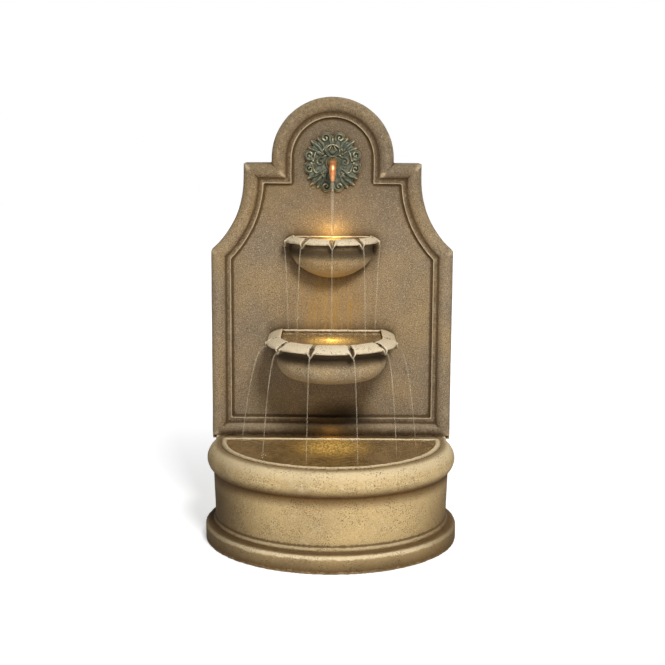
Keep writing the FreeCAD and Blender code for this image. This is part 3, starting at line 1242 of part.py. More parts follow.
def make_hose():
    """Riser hose from the pump to the spout's elbow, with its clamps and wall clips."""
    start = PUMP_TOP + " + collar_height"
    end = "spout_height - elbow_drop"
    points = [
        (OUTLET_X, "pump_y", start),
        (OUTLET_X, "pump_y", start + " + hose_rise"),
        ("hose_slot_x", "duct_y", "ledge_under - hose_turn"),
        ("hose_slot_x", "duct_y", "hose_straight_end"),
        ("0", "duct_y", "hose_lean_end"),
        ("0", "duct_y", end),
    ]
    bends = ("hose_tight_bend", "hose_tight_bend", "hose_easy_bend", "hose_easy_bend")
    node("riser_hose", tube("hose", points, bends, "hose_radius", "hose_bore"))
    clamps = []
    for tag, x, y, low in (("low", OUTLET_X, "pump_y", start + " + clamp_inset"),
                           ("high", "0", "duct_y", end + " - clamp_inset - clamp_width")):
        outer = rod("clamp_outer_" + tag, "hose_radius + clamp_thick", "clamp_width", (x, y, low))
        inner = rod("clamp_inner_" + tag, "hose_radius", "clamp_width + 2 * overcut",
                    (x, y, low + " - overcut"))
        clamps.append(cut("clamp_" + tag, outer, [inner]))
    node("hose_clamps", group("clamps", clamps))
    clips = []
    for tag, x, height in (("low", "hose_slot_x", "clip_low"), ("high", "0", "clip_high")):
        low = height + " - clip_width / 2"
        band = rod("clip_band_" + tag, "hose_radius + clip_thick", "clip_width", (x, "duct_y", low))
        foot = box("clip_foot_" + tag, (x + " - clip_thick", "wall_inner", low),
                   ("2 * clip_thick", "duct_y - wall_inner - hose_radius + clip_thick / 2",
                    "clip_width"))
        pad = box("clip_pad_" + tag, (x + " - clip_foot", "wall_inner", low),
                  ("2 * clip_foot", "clip_thick", "clip_width"))
        hole = rod("clip_hole_" + tag, "hose_radius", "clip_width + 2 * overcut",
                   (x, "duct_y", low + " - overcut"))
        clips.append(cut("clip_" + tag, fuse("clip_solid_" + tag, [band, foot, pad]), [hole]))
    node("hose_clips", group("clips", clips))


# Lamps and leads

def lamp_seat_height(name):
    """Height of the floor that a lamp stands on."""
    if name == "basin":
        return "pool_floor"
    return "(%s_middle - %s_depth + %s_wall)" % (name, name, name)


def lamp_pivot_height(name):
    """Height of a lamp's pivot."""
    return "(%s + lamp_pivot + %s)" % (lamp_seat_height(name), lamp_lift(name))


def lamp_lift(name):
    """How far a bracket's foot plate stands above the round floor's lowest point."""
    if name == "basin":
        return "0"
    across, flat, ratio, fall = belly_terms(name)
    inner = "(%s - %s_wall)" % (flat, name)
    off_axis = "(bracket_half + abs(lamp_%s_y - %s_centre))" % (name, name)
    corner = "sqrt((ear_inner + ear_thick) ^ 2 + %s ^ 2)" % off_axis
    return "(%s - sqrt(%s ^ 2 - %s ^ 2))" % (inner, inner, corner)


def make_lamp(name):
    """A tilting underwater lamp: bracket, body, lens and bezel."""
    y = "lamp_%s_y" % name
    pivot = lamp_pivot_height(name)
    foot = "(%s - lamp_pivot)" % pivot
    half = "(ear_inner + ear_thick)"
    parts = [box(name + "_foot_plate", ("-" + half, y + " - bracket_half", foot),
                 ("2 * " + half, "2 * bracket_half", "ear_thick"))]
    for side, x in (("left", "-" + half), ("right", "ear_inner")):
        parts.append(box("%s_ear_%s" % (name, side), (x, y + " - ear_half", foot),
                         ("ear_thick", "2 * ear_half", "lamp_pivot")))
        parts.append(rod("%s_ear_eye_%s" % (name, side), "ear_half", "ear_thick", (x, y, pivot), "+X"))
    if name != "basin":
        parts.append(rod(name + "_foot_pad", "bracket_half", "lamp_pivot / 2",
                         ("0", y, foot + " + ear_thick"), "-Z"))
    solid = fuse(name + "_bracket_solid", parts)
    bore = rod(name + "_ear_bore", "trunnion_radius + pivot_gap",
               "2 * %s + 2 * overcut" % half, ("-%s - overcut" % half, y, pivot), "+X")
    tools = [bore]
    if name != "basin":
        tools.append(floor_tool(name, y))
    node(name + "_lamp_bracket", cut(name + "_bracket_bored", solid, tools))
    can = rod(name + "_can", "lamp_radius", "lamp_under + lamp_over", ("0", y, pivot + " - lamp_under"))
    pins = rod(name + "_trunnions", "trunnion_radius", "2 * " + half, ("-" + half, y, pivot), "+X")
    recess = rod(name + "_recess", "lens_radius + lens_gap", "lens_thick + overcut",
                 ("0", y, pivot + " + lamp_over - lens_thick"))
    core = rod(name + "_trunnion_bore", "lead_radius + lead_gap",
               half + " + overcut - lamp_radius + trunnion_radius", (half + " + overcut", y, pivot), "-X")
    node(name + "_lamp_body", cut(name + "_body_bored", fuse(name + "_body_solid", [can, pins]),
                                  [recess, core]))
    node(name + "_lamp_lens", rod(name + "_lens_disc", "lens_radius", "lens_thick",
                                  ("0", y, pivot + " + lamp_over - lens_thick")))
    outer = rod(name + "_bezel_disc", "bezel_radius", "bezel_thick", ("0", y, pivot + " + lamp_over"))
    inner = rod(name + "_bezel_hole", "bezel_mouth", "bezel_thick + 2 * overcut",
                ("0", y, pivot + " + lamp_over - overcut"))
    node(name + "_lamp_bezel", cut(name + "_bezel_ring", outer, [inner]))


def floor_tool(name, y):
    """The stone under a lamp's foot pad, so that the pad ends on the bowl's round floor."""
    lowest = "%s_middle - %s_depth" % (name, name)
    block = box(name + "_floor_block", ("-lamp_room", y + " - lamp_room", lowest),
                ("2 * lamp_room", "2 * lamp_room",
                 "%s - (%s) + lamp_pivot / 2" % (lamp_seat_height(name), lowest)))
    across, flat, ratio, fall = belly_terms(name)
    inner = "(%s - %s_wall)" % (flat, name)
    ball = doc.addObject("Part::Sphere", name + "_floor_ball")
    bind(ball, Radius=inner, Placement__Base__y=name + "_centre",
         Placement__Base__z="%s + %s" % (lowest, flat))
    return cut(name + "_floor_tool", block, [ball])


LEAD_BENDS = {
    "upper": ("9", "15"),
    "lower": ("18", "15"),
    "basin": ("20", "35"),
    "pump": ("25", "25", "28", "40"),
}


def make_leads():
    """Leads from the lamps and the pump to the junction box, and the wall grommets."""
    start_x = "ear_inner + ear_thick + lead_end_gap"
    top = "box_foot + box_tall - lead_entry"
    bottom = "box_foot + lead_entry"
    for name in ("upper", "lower"):
        z = lamp_pivot_height(name)
        x = name + "_lead_x"
        y = "lamp_%s_y" % name
        points = [(start_x, y, z), (x, y, z), (x, "duct_y", z), (x, "duct_y", top)]
        node(name + "_lamp_lead", tube(name + "_lead", points, LEAD_BENDS[name], "lead_radius"))
    z = lamp_pivot_height("basin")
    x = "basin_lead_x"
    points = [(start_x, "lamp_basin_y", z), (x, "lamp_basin_y", z),
              (x, "duct_y", z), (x, "duct_y", bottom)]
    node("basin_lamp_lead", tube("basin_lead", points, LEAD_BENDS["basin"], "lead_radius"))
    points = [
        (PUMP_LEAD_X, "pump_y", PUMP_TOP + " - 10"),
        (PUMP_LEAD_X, "pump_y", PUMP_TOP + " + 35"),
        (PUMP_LEAD_X, "sump_back - 6", PUMP_TOP + " + 70"),
        ("0", "sump_back - 6", PUMP_TOP + " + 84"),
        ("pump_lead_x", "duct_y + 2 * pump_lead_aside", "ledge_under"),
        ("pump_lead_x", "duct_y + pump_lead_aside", bottom),
    ]
    node("pump_lead", tube("pump_cable", points, LEAD_BENDS["pump"], "lead_radius"))
    grommets = []
    for name in ("upper", "lower"):
        z = lamp_pivot_height(name)
        spot = (name + "_lead_x", "field_plane - bowl_back - grommet_lip", z)
        length = "wall_inner - field_plane + bowl_back + 2 * grommet_lip"
        outer = rod(name + "_grommet_sleeve", "grommet_radius", length, spot, "+Y")
        inner = rod(name + "_grommet_bore", "lead_radius", length, spot, "+Y")
        grommets.append(cut(name + "_grommet", outer, [inner]))
    node("lead_grommets", group("grommets", grommets))


def make_junction():
    """Junction box behind the panel, its lid, screws and the lamps' driver; the mains gland."""
    shell = box("box_shell", ("box_left", "wall_inner", "box_foot"), ("box_width", "box_depth", "box_tall"))
    inside = box("box_inside", ("box_left + box_wall", "wall_inner + box_wall", "box_foot + box_wall"),
                 ("box_width - 2 * box_wall", "box_depth", "box_tall - 2 * box_wall"))
    tools = [inside]
    hole = "lead_radius + lead_gap"
    for tag, x, y, z in (("upper", "upper_lead_x", "duct_y", "box_foot + box_tall - box_wall - overcut"),
                         ("lower", "lower_lead_x", "duct_y", "box_foot + box_tall - box_wall - overcut"),
                         ("basin", "basin_lead_x", "duct_y", "box_foot - overcut"),
                         ("pump", "pump_lead_x", "duct_y + pump_lead_aside", "box_foot - overcut")):
        tools.append(rod("box_hole_" + tag, hole, "box_wall + 2 * overcut", (x, y, z)))
    node("junction_box", cut("box_bored", shell, tools))
    lid_y = "wall_inner + box_depth"
    lid = box("lid_plate", ("box_left", lid_y, "box_foot"), ("box_width", "lid_thick", "box_tall"))
    holes, screws = [], []
    for tag, x, z in (("a", "box_left + lid_screw_inset", "box_foot + lid_screw_inset"),
                      ("b", "box_left + box_width - lid_screw_inset",
                       "box_foot + box_tall - lid_screw_inset")):
        holes.append(rod("lid_hole_" + tag, "screw_radius", "lid_thick + 2 * overcut",
                         (x, lid_y + " - overcut", z), "+Y"))
        head = rod("lid_screw_head_" + tag, "screw_head", "lid_screw_head",
                   (x, lid_y + " + lid_thick", z), "+Y")
        shank = rod("lid_screw_shank_" + tag, "screw_radius", "lid_thick + lid_screw_reach",
                    (x, lid_y + " + lid_thick", z), "-Y")
        screws.append(fuse("lid_screw_" + tag, [head, shank]))
    node("junction_lid", cut("lid_bored", lid, holes))
    node("junction_lid_screws", group("lid_screws", screws))
    node("led_driver", box("driver_block", ("box_left + driver_margin", "wall_inner + box_wall",
                                            "box_foot + driver_margin"),
                           ("box_width - 2 * driver_margin", "driver_depth",
                            "box_tall - 2 * driver_margin")))
    face = "cover_front + cover_thick"
    parts = [
        rod("gland_stem", "gland_thread", "cover_thick + gland_inner + gland_outer",
            ("gland_x", "cover_front - gland_inner", "gland_z"), "+Y"),
        hexagon("gland_inner_nut", "gland_nut", "gland_inner - gland_tail",
                ("gland_x", "cover_front", "gland_z"), "-Y"),
        hexagon("gland_outer_nut", "gland_nut", "gland_outer - gland_nose",
                ("gland_x", face, "gland_z"), "+Y"),
    ]
    bore = rod("gland_bore_rod", "gland_bore",
               "cover_thick + gland_inner + gland_outer + 2 * overcut",
               ("gland_x", "cover_front - gland_inner - overcut", "gland_z"), "+Y")
    node("mains_gland", cut("gland_bored", fuse("gland_solid", parts), [bore]))


# Fixings

def bolt(tag, spot, way, grip, nut_spot):
    """A headed bolt that starts at a spot, and its nut."""
    back = {"+Y": "-Y", "+Z": "-Z"}[way]
    head = hexagon("head_" + tag, "bolt_head", "bolt_head_thick", spot, back)
    shank = rod("shank_" + tag, "bolt_radius", "%s + bolt_head_thick + bolt_tail" % grip, spot, way)
    nut = hexagon("nut_prism_" + tag, "bolt_head", "bolt_head_thick", nut_spot, way)
    hole = rod("nut_bore_" + tag, "bolt_radius", "bolt_head_thick", nut_spot, way)
    return fuse("bolt_" + tag, [head, shank]), cut("nut_" + tag, nut, [hole])


def make_fixings():
    """Bolts for bowls and panel, drain plug and hanging rail."""
    bolts, nuts = [], []
    for name in ("upper", "lower"):
        for side, sign in (("left", "-"), ("right", "")):
            x = sign + name + "_bolt_x"
            z = name + "_bolt_z"
            made = bolt("%s_%s" % (name, side), (x, "field_plane - bowl_back", z), "+Y",
                        "(wall_inner - field_plane + bowl_back)", (x, "wall_inner", z))
            bolts.append(made[0])
            nuts.append(made[1])
    node("bowl_bolts", group("all_bowl_bolts", bolts))
    node("bowl_nuts", group("all_bowl_nuts", nuts))
    bolts, nuts = [], []
    for side, x in (("left", "-seat_bolt_x"), ("right", "seat_bolt_x")):
        made = bolt("seat_" + side, (x, "duct_y", "ledge_under"), "+Z",
                    "(panel_foot + foot_wall - ledge_under)", (x, "duct_y", "panel_foot + foot_wall"))
        bolts.append(made[0])
        nuts.append(made[1])
    node("seat_bolts", group("all_seat_bolts", bolts))
    node("seat_nuts", group("all_seat_nuts", nuts))
    stem = cone("plug_stem", "drain_radius - drain_gap", "drain_radius - drain_gap - plug_taper",
                "plug_length", ("drain_x", "drain_y", "pool_floor"), "-Z")
    cap = rod("plug_cap_disc", "drain_radius + plug_lip", "plug_cap",
              ("drain_x", "drain_y", "pool_floor"))
    pull = ring("plug_ring", "pull_radius", "pull_round",
                ("drain_x", "drain_y", "pool_floor + pull_rise"), "+Y")
    node("drain_plug", fuse("plug", [stem, cap, pull]))
    rail_y = "back_plane - rail_thick"
    strip = box("rail_strip", ("-rail_half", rail_y, "rail_height - rail_tall / 2"),
                ("2 * rail_half", "rail_thick", "rail_tall"))
    holes, spacers, screws = [], [], []
    face = "(cover_front + cover_thick)"
    for side, sign in (("left", "-"), ("right", "")):
        holes.append(rod("rail_hole_" + side, "rail_hole", "rail_thick + 2 * overcut",
                         (sign + "rail_hole_x", rail_y + " - overcut", "rail_height"), "+Y"))
        x = sign + "spacer_x"
        holes.append(rod("rail_screw_hole_" + side, "rail_screw", "rail_thick + 2 * overcut",
                         (x, rail_y + " - overcut", "rail_height"), "+Y"))
        sleeve = rod("spacer_outer_" + side, "spacer_radius", rail_y + " - " + face,
                     (x, face, "rail_height"), "+Y")
        inner = rod("spacer_inner_" + side, "rail_screw", rail_y + " - " + face,
                    (x, face, "rail_height"), "+Y")
        spacers.append(cut("spacer_" + side, sleeve, [inner]))
        head = rod("rail_screw_cap_" + side, "rail_screw_head", "rail_screw_thick",
                   (x, "cover_front", "rail_height"), "-Y")
        shank = rod("rail_screw_shank_" + side, "rail_screw", "back_plane - cover_front",
                    (x, "cover_front", "rail_height"), "+Y")
        screws.append(fuse("rail_screw_" + side, [head, shank]))
    node("hanging_rail", cut("rail_bored", strip, holes))
    node("rail_spacers", group("spacers", spacers))
    node("rail_screws", group("all_rail_screws", screws))


make_basin()
make_panel()
make_rear_cover()
make_door()
make_bowl("upper", UPPER_NOTCHES)
make_bowl("lower", LOWER_NOTCHES)
make_rosette()
make_spout()
make_pump()
make_strainer()
make_hose()
for lamp in ("upper", "lower", "basin"):
    make_lamp(lamp)
make_leads()
make_junction()
make_fixings()

doc.recompute()
faults = [thing.Name for thing in doc.Objects if set(thing.State) & {"Invalid", "Error"}]
for label, thing in NODES.items():
    if thing.Shape.isNull() or not thing.Shape.isValid() or not thing.Shape.Solids:
        faults.append(label)
if faults:
    raise SystemExit("these failed: " + ", ".join(faults))
os.makedirs("parts", exist_ok=True)
for label, thing in NODES.items():
    thing.Shape.exportStep("parts/%s.step" % label)
print("%d pieces written" % len(NODES))
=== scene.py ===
"""Looks of a garden wall fountain in cast stone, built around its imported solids.

Metres, +Z up, the front faces -Y. The water is part of this scene only.
"""

from __future__ import annotations

import sys
import logging
import math
from dataclasses import dataclass
from enum import Enum
from typing import Callable, Iterable, Sequence

import bmesh
import bpy
import numpy as np
from mathutils import Matrix, Vector, noise


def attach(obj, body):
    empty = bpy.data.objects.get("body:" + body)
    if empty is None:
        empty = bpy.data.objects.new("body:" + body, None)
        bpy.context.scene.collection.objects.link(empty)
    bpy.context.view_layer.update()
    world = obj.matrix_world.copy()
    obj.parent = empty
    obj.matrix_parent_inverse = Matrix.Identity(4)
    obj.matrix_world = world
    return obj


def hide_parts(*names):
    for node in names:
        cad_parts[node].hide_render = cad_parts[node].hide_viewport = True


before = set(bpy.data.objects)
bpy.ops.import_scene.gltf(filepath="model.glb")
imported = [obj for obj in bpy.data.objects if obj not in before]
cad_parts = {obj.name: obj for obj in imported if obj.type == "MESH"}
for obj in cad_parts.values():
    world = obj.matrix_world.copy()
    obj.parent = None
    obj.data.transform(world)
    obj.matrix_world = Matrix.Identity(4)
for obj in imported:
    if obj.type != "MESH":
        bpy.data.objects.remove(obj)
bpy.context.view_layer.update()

MM = 0.001
ROOT = "fountain"
ROUND_BACK = 70 * MM  # behind this the basin is a block, where the ring patches of painted shade and the darker foot don't show
LOG = logging.getLogger("fountain")

Rgb = tuple[float, float, float]
Place = tuple[float, float, float]
Socket = bpy.types.NodeSocket


def srgb(red: float, green: float, blue: float) -> Rgb:
    """Turn a colour as seen on a screen, 0 to 255, into scene values."""
    return tuple(((part / 255 + 0.055) / 1.055) ** 2.4 if part > 10.3 else part / 3294.6
                 for part in (red, green, blue))


class Blend(Enum):
    """How one colour is put over another."""

    OVER = "MIX"
    # darkens by multiplying: darker grains, the damp foot, random mottling and painted shade
    DARKEN = "MULTIPLY"


@dataclass(frozen=True)
class Patch:
    """A soft-edged patch of colour on stone; the patches paint shade, shadows and a warm glow, and give
    damp streaks and a darker foot.

    A ring patch follows the round basin: its spot and reach are the distance from the upright
    axis, how far behind the round part, and the height.
    """

    spot: Place
    reach: Place
    colour: Rgb
    share: float
    core: float = 0.2
    streaky: bool = False
    ring: bool = False


class NodeTree:
    """Builds the nodes of a material or a world with short calls."""

    def __init__(self, owner: bpy.types.ID) -> None:
        """Start with no nodes.

        Args:
            owner: the material or the world that the nodes belong to.
        """
        owner.use_nodes = True
        self.nodes = owner.node_tree.nodes
        self.links = owner.node_tree.links
        self.nodes.clear()

    def feed(self, socket: Socket, value: object) -> None:
        """Give a socket a link or a fixed value.

        Args:
            socket: the socket to fill.
            value: another node's output, a number, a vector or a colour.
        """
        if isinstance(value, bpy.types.NodeSocket):
            self.links.new(value, socket)
        elif socket.type == "RGBA" and len(value) == 3:
            socket.default_value = (*value, 1.0)
        else:
            socket.default_value = value

    def add(self, kind: str, inputs: dict[str | int, object] | None = None,
            **settings: object) -> bpy.types.Node:
        """Add a node.

        Args:
            kind: the node's type name.
            inputs: what its sockets get, by the socket's name or number.
            settings: properties of the node itself.

        Returns:
            The new node.
        """
        node = self.nodes.new(kind)
        for name, value in settings.items():
            setattr(node, name, value)
        for name, value in (inputs or {}).items():
            self.feed(node.inputs[name], value)
        return node

    def maths(self, operation: str, first: object, second: object = 0.0) -> Socket:
        """One arithmetic step on two values."""
        return self.add("ShaderNodeMath", {0: first, 1: second}, operation=operation).outputs[0]

    def choose(self, share: Socket, first: Socket, second: Socket) -> Socket:
        """One shader where the share is 0 and another where it is 1."""
        return self.add("ShaderNodeMixShader", {0: share, 1: first, 2: second}).outputs[0]


class ShaderTree(NodeTree):
    """The nodes of one material, with the textures that the finishes share."""

    def __init__(self, name: str) -> None:
        """Start an empty material.

        Args:
            name: the material's name.
        """
        self.material = bpy.data.materials.new(name)
        super().__init__(self.material)
        where = self.add("ShaderNodeTexCoord")
        self.place = where.outputs["Object"]
        self.facing = where.outputs["Normal"]

    def mapped(self, vector: Socket, scale: Sequence[float], shift: Sequence[float] = (0, 0, 0)) -> Socket:
        """Scale a place along each axis and then shift it."""
        inputs = {"Vector": vector, "Scale": scale, "Location": shift}
        return self.add("ShaderNodeMapping", inputs).outputs["Vector"]

    def noise(self, per_metre: float, detail: float = 3.0, rough: float = 0.55,
              stretch: Sequence[float] | None = None) -> Socket:
        """Cloudy variation.

        Args:
            per_metre: how many clouds fit in a metre.
            detail: how many finer layers it has.
            rough: how strong the finer layers are.
            stretch: scale along each axis, for streaks.

        Returns:
            A value about 0.5.
        """
        place = self.mapped(self.place, stretch) if stretch else self.place
        inputs = {"Vector": place, "Scale": per_metre, "Detail": detail, "Roughness": rough}
        return self.add("ShaderNodeTexNoise", inputs).outputs["Fac"]

    def cells(self, per_metre: float) -> Socket:
        """Distance to the nearest of many scattered points, in cell widths."""
        inputs = {"Vector": self.place, "Scale": per_metre}
        return self.add("ShaderNodeTexVoronoi", inputs).outputs["Distance"]

    def axis(self, vector: Socket, name: str) -> Socket:
        """One component, "X", "Y" or "Z", of a place or a direction."""
        return self.add("ShaderNodeSeparateXYZ", {0: vector}).outputs[name]

    def measure(self, operation: str, first: Socket, second: Sequence[float] = (0, 0, 0)) -> Socket:
        """The length of a vector, or its distance from a second one."""
        node = self.add("ShaderNodeVectorMath", {0: first, 1: second}, operation=operation)
        return node.outputs["Value"]

    def distance(self, spot: Sequence[float]) -> Socket:
        """How far each point is from a spot on the object."""
        return self.measure("DISTANCE", self.place, spot)

    def round_place(self) -> Socket:
        """Give the place as a ring patch wants it.

        Returns:
            The distance from the upright axis, how far behind the round part, and the height.
        """
        behind = self.maths("SUBTRACT", self.axis(self.place, "Y"), ROUND_BACK)
        inputs = {"X": self.measure("LENGTH", self.mapped(self.place, (1.0, 1.0, 0.0))),
                  "Y": self.maths("MAXIMUM", behind, 0.0),
                  "Z": self.axis(self.place, "Z")}
        return self.add("ShaderNodeCombineXYZ", inputs).outputs["Vector"]

    def lay_patch(self, patch: Patch, colour: Socket) -> Socket:
        """Lay a patch over a colour.

        Args:
            patch: the patch.
            colour: what lies under it.

        Returns:
            The colour with the patch laid over it.
        """
        place = self.round_place() if patch.ring else self.place
        shift = [-spot / reach for spot, reach in zip(patch.spot, patch.reach)]
        away = self.measure("LENGTH", self.mapped(place, [1.0 / reach for reach in patch.reach], shift))
        share = self.level(away, patch.core, 1.0, patch.share, 0.0)
        if patch.streaky:
            lines = self.noise(95.0, 3.0, 0.6, (1.0, 1.0, 0.05))
            share = self.maths("MULTIPLY", share, self.level(lines, 0.40, 0.60, 0.2, 1.0))
        return self.mix(share, colour, patch.colour)

    def attribute(self, name: str) -> Socket:
        """A value kept on the mesh's points."""
        return self.add("ShaderNodeAttribute", attribute_name=name).outputs["Fac"]

    def level(self, value: Socket, low: float, high: float, start: float = 0.0,
              end: float = 1.0) -> Socket:
        """Stretch a value's range from low..high to start..end, with soft ends."""
        inputs = {"Value": value, "From Min": low, "From Max": high, "To Min": start, "To Max": end}
        return self.add("ShaderNodeMapRange", inputs, interpolation_type="SMOOTHSTEP").outputs["Result"]

    def mix(self, share: object, under: object, over: object, how: Blend = Blend.OVER) -> Socket:
        """Put one colour over another by a share."""
        inputs = {0: share, 6: under, 7: over}
        return self.add("ShaderNodeMix", inputs, data_type="RGBA", blend_type=how.value).outputs[2]

    def hollows(self, reach: float, samples: int = 8) -> Socket:
        """How open a point is: 1 in the open, lower in corners and under edges."""
        return self.add("ShaderNodeAmbientOcclusion", {"Distance": reach}, samples=samples).outputs["AO"]

    def bump(self, height: Socket, depth: float, strength: float = 1.0,
             under: Socket | None = None) -> Socket:
        """Turn a height into a bumpy normal.

        Args:
            height: the height, 0 to 1.
            depth: how deep a height of 1 is, in metres.
            strength: how strongly it shows.
            under: a coarser bumpy normal below it.

        Returns:
            The normal.
        """
        inputs = {"Height": height, "Distance": depth, "Strength": strength}
        if under is not None:
            inputs["Normal"] = under
        return self.add("ShaderNodeBump", inputs).outputs["Normal"]

    def finish(self, shader: Socket) -> bpy.types.Material:
        """Put a shader on the material's surface."""
        self.add("ShaderNodeOutputMaterial", {"Surface": shader})
        return self.material

    def surface(self, **values: object) -> bpy.types.Material:
        """Finish with a surface shader whose sockets get values, an underscore for each space."""
        inputs = {name.replace("_", " "): value for name, value in values.items()}
        return self.finish(self.add("ShaderNodeBsdfPrincipled", inputs).outputs["BSDF"])


# Finishes


@dataclass(frozen=True)
class CastStone:
    """Pitted cast stone with a brown wash in its hollows, partly painted shade, worn light edges, and
    painted light and shade by facing and height.
    """

    name: str
    pale: Rgb = srgb(226, 204, 164)
    sand: Rgb = srgb(188, 159, 112)
    grey: Rgb = srgb(160, 139, 108)
    # brown of the darker grains; in hollows and creases it is partly a stain and partly painted shade
    wash_and_shade: Rgb = srgb(66, 43, 10)
    pit: Rgb = srgb(70, 50, 24)
    damp: Rgb = srgb(120, 88, 44)
    # colour of the painted shade on the top
    dim: Rgb = srgb(132, 122, 108)
    pits_per_metre: float = 190.0
    pit_size: float = 0.16
    pit_share: float = 0.85
    specks: float = 0.65
    # reach and strength of the brown in the hollows, partly painted shade
    hollow_reach: float = 0.05
    wash_strength: float = 0.92
    # painted light: what faces up is painted paler, as if lit from above
    painted_top_light: float = 0.55
    damp_foot: float = 0.0
    damp_height: float = 75 * MM
    # painted shade: the stone is painted darker from dim_from up to dim_to, as if less lit
    painted_top_shade: float = 0.0
    dim_from: float = 0.72
    dim_to: float = 1.0
    patches: tuple[Patch, ...] = ()

    def speckled(self, tree: ShaderTree, grain: Socket, blotches: Socket) -> Socket:
        """Mix sand colour with grey clouds, pale specks and dark grains.

        Args:
            tree: the material's nodes.
            grain: fine noise.
            blotches: coarse noise.

        Returns:
            The colour.
        """
        clouds = tree.noise(5.0, 3.0, 0.55)
        specks = tree.noise(310.0, 2.0, 0.7)
        colour = tree.mix(tree.level(clouds, 0.34, 0.66), self.grey, self.sand)
        colour = tree.mix(tree.level(specks, 0.50, 0.70, 0.0, self.specks), colour, self.pale)
        colour = tree.mix(tree.level(blotches, 0.52, 0.76, 0.0, 0.30), colour, self.pale)
        return tree.mix(tree.level(grain, 0.34, 0.56, self.specks, 0.0), colour, self.wash_and_shade, Blend.DARKEN)

    def painted_light_shade_and_damp(self, tree: ShaderTree, colour: Socket) -> Socket:
        """Paint light on what faces up, darken the damp foot and paint shade on the top.

        Args:
            tree: the material's nodes.
            colour: the speckled colour.

        Returns:
            The colour with its painted light, damp foot and painted shade.
        """
        # painted light: what faces up is painted paler, as if lit from above
        top_light_share = tree.level(tree.axis(tree.facing, "Z"), 0.10, 0.85, 0.0, self.painted_top_light)
        colour = tree.mix(top_light_share, colour, self.pale)
        height = tree.axis(tree.place, "Z")
        low = tree.level(height, 0.0, self.damp_height, self.damp_foot, 0.0)
        colour = tree.mix(low, colour, self.damp, Blend.DARKEN)
        # painted shade: darker towards the top, as if less lit
        high = tree.level(height, self.dim_from, self.dim_to, 0.0, self.painted_top_shade)
        return tree.mix(high, colour, self.dim, Blend.DARKEN)

    def worn(self, tree: ShaderTree, colour: Socket, grain: Socket, blotches: Socket) -> Socket:
        """Lay the brown wash into hollows and creases, partly stain and partly painted shade, and rub the
        edges pale.

        Args:
            tree: the material's nodes.
            colour: the colour with its painted light, damp foot and painted shade.
            grain: fine noise.
            blotches: coarse noise.

        Returns:
            The colour with the wash, the painted shade and the worn edges.
        """
        # partly painted shade: the brown wash lies where the hollows shut out light
        shut = tree.level(tree.hollows(self.hollow_reach), 0.42, 0.97, 1.0, 0.0)
        mottled = tree.maths("MULTIPLY", shut, tree.level(grain, 0.30, 0.65, 0.78, 1.10))
        colour = tree.mix(tree.maths("MULTIPLY", mottled, self.wash_strength), colour, self.wash_and_shade)
        relief = tree.attribute("relief")
        # partly painted shade: concave creases take the brown wash
        colour = tree.mix(tree.level(relief, -0.42, -0.08, 0.75, 0.0), colour, self.wash_and_shade)
        rubbed = tree.maths("MULTIPLY", tree.level(relief, 0.14, 0.46, 0.0, 0.8),
                            tree.level(blotches, 0.3, 0.6, 0.6, 1.0))
        return tree.mix(rubbed, colour, self.pale)

    def holes(self, tree: ShaderTree, blotches: Socket) -> Socket:
        """Scatter pits of two sizes.

        Args:
            tree: the material's nodes.
            blotches: coarse noise, which gathers the finer pits.

        Returns:
            How much a point lies in a pit.
        """
        crowd = tree.level(tree.noise(22.0, 2.0), 0.40, 0.60, 0.15, 1.0)
        large = tree.level(tree.cells(self.pits_per_metre), self.pit_size, self.pit_size * 1.9, 1.0, 0.0)
        fine = tree.level(tree.cells(self.pits_per_metre * 2.1), 0.14, 0.26, 1.0, 0.0)
        return tree.maths("MAXIMUM", tree.maths("MULTIPLY", large, crowd),
                          tree.maths("MULTIPLY", fine, tree.level(blotches, 0.38, 0.60)))

    def material(self) -> bpy.types.Material:
        """Build the stone's material.

        Returns:
            The material.
        """
        tree = ShaderTree(self.name)
        blotches = tree.noise(34.0, 4.0, 0.62)
        grain = tree.noise(430.0, 2.0, 0.75)
        colour = self.painted_light_shade_and_damp(tree, self.speckled(tree, grain, blotches))
        colour = self.worn(tree, colour, grain, blotches)
        for patch in self.patches:
            colour = tree.lay_patch(patch, colour)
        holes = self.holes(tree, blotches)
        colour = tree.mix(tree.maths("MULTIPLY", holes, self.pit_share), colour, self.pit)
        soft = tree.bump(blotches, 1.6 * MM, 0.35)
        rough = tree.bump(grain, 1.0 * MM, 0.6, soft)
        pitted = tree.bump(tree.maths("SUBTRACT", 1.0, holes), 1.2 * MM, 0.8, rough)
        return tree.surface(Base_Color=colour, Normal=pitted,
                            Roughness=tree.level(grain, 0.3, 0.7, 0.74, 0.95),
                            Specular_IOR_Level=0.28)


@dataclass(frozen=True)
class AgedMetal:
    """Cast or drawn metal with a dull patina, worn bright where it stands out."""

    name: str
    bright: Rgb
    dull: Rgb
    dark: Rgb
    metallic: float = 1.0
    smooth: float = 0.32
    grain_per_metre: float = 900.0
    brush: Sequence[float] = (1.0, 1.0, 1.0)

    def material(self) -> bpy.types.Material:
        """Build the metal's material.

        Returns:
            The material.
        """
        tree = ShaderTree(self.name)
        film = tree.noise(70.0, 4.0, 0.65)
        grain = tree.noise(self.grain_per_metre, 2.0, 0.6, self.brush)
        shut = tree.level(tree.hollows(8 * MM, 6), 0.35, 0.95, 1.0, 0.0)
        relief = tree.attribute("relief")
        colour = tree.mix(tree.level(film, 0.38, 0.62), self.dull, self.bright)
        colour = tree.mix(tree.maths("MULTIPLY", shut, 0.9), colour, self.dark)
        colour = tree.mix(tree.level(relief, 0.03, 0.16, 0.0, 0.85), colour, self.bright)
        fine = tree.bump(grain, 0.12 * MM, 0.35)
        return tree.surface(Base_Color=colour, Metallic=self.metallic,
                            Roughness=tree.level(film, 0.3, 0.7, self.smooth, self.smooth + 0.22),
                            Normal=tree.bump(film, 0.5 * MM, 0.18, fine))


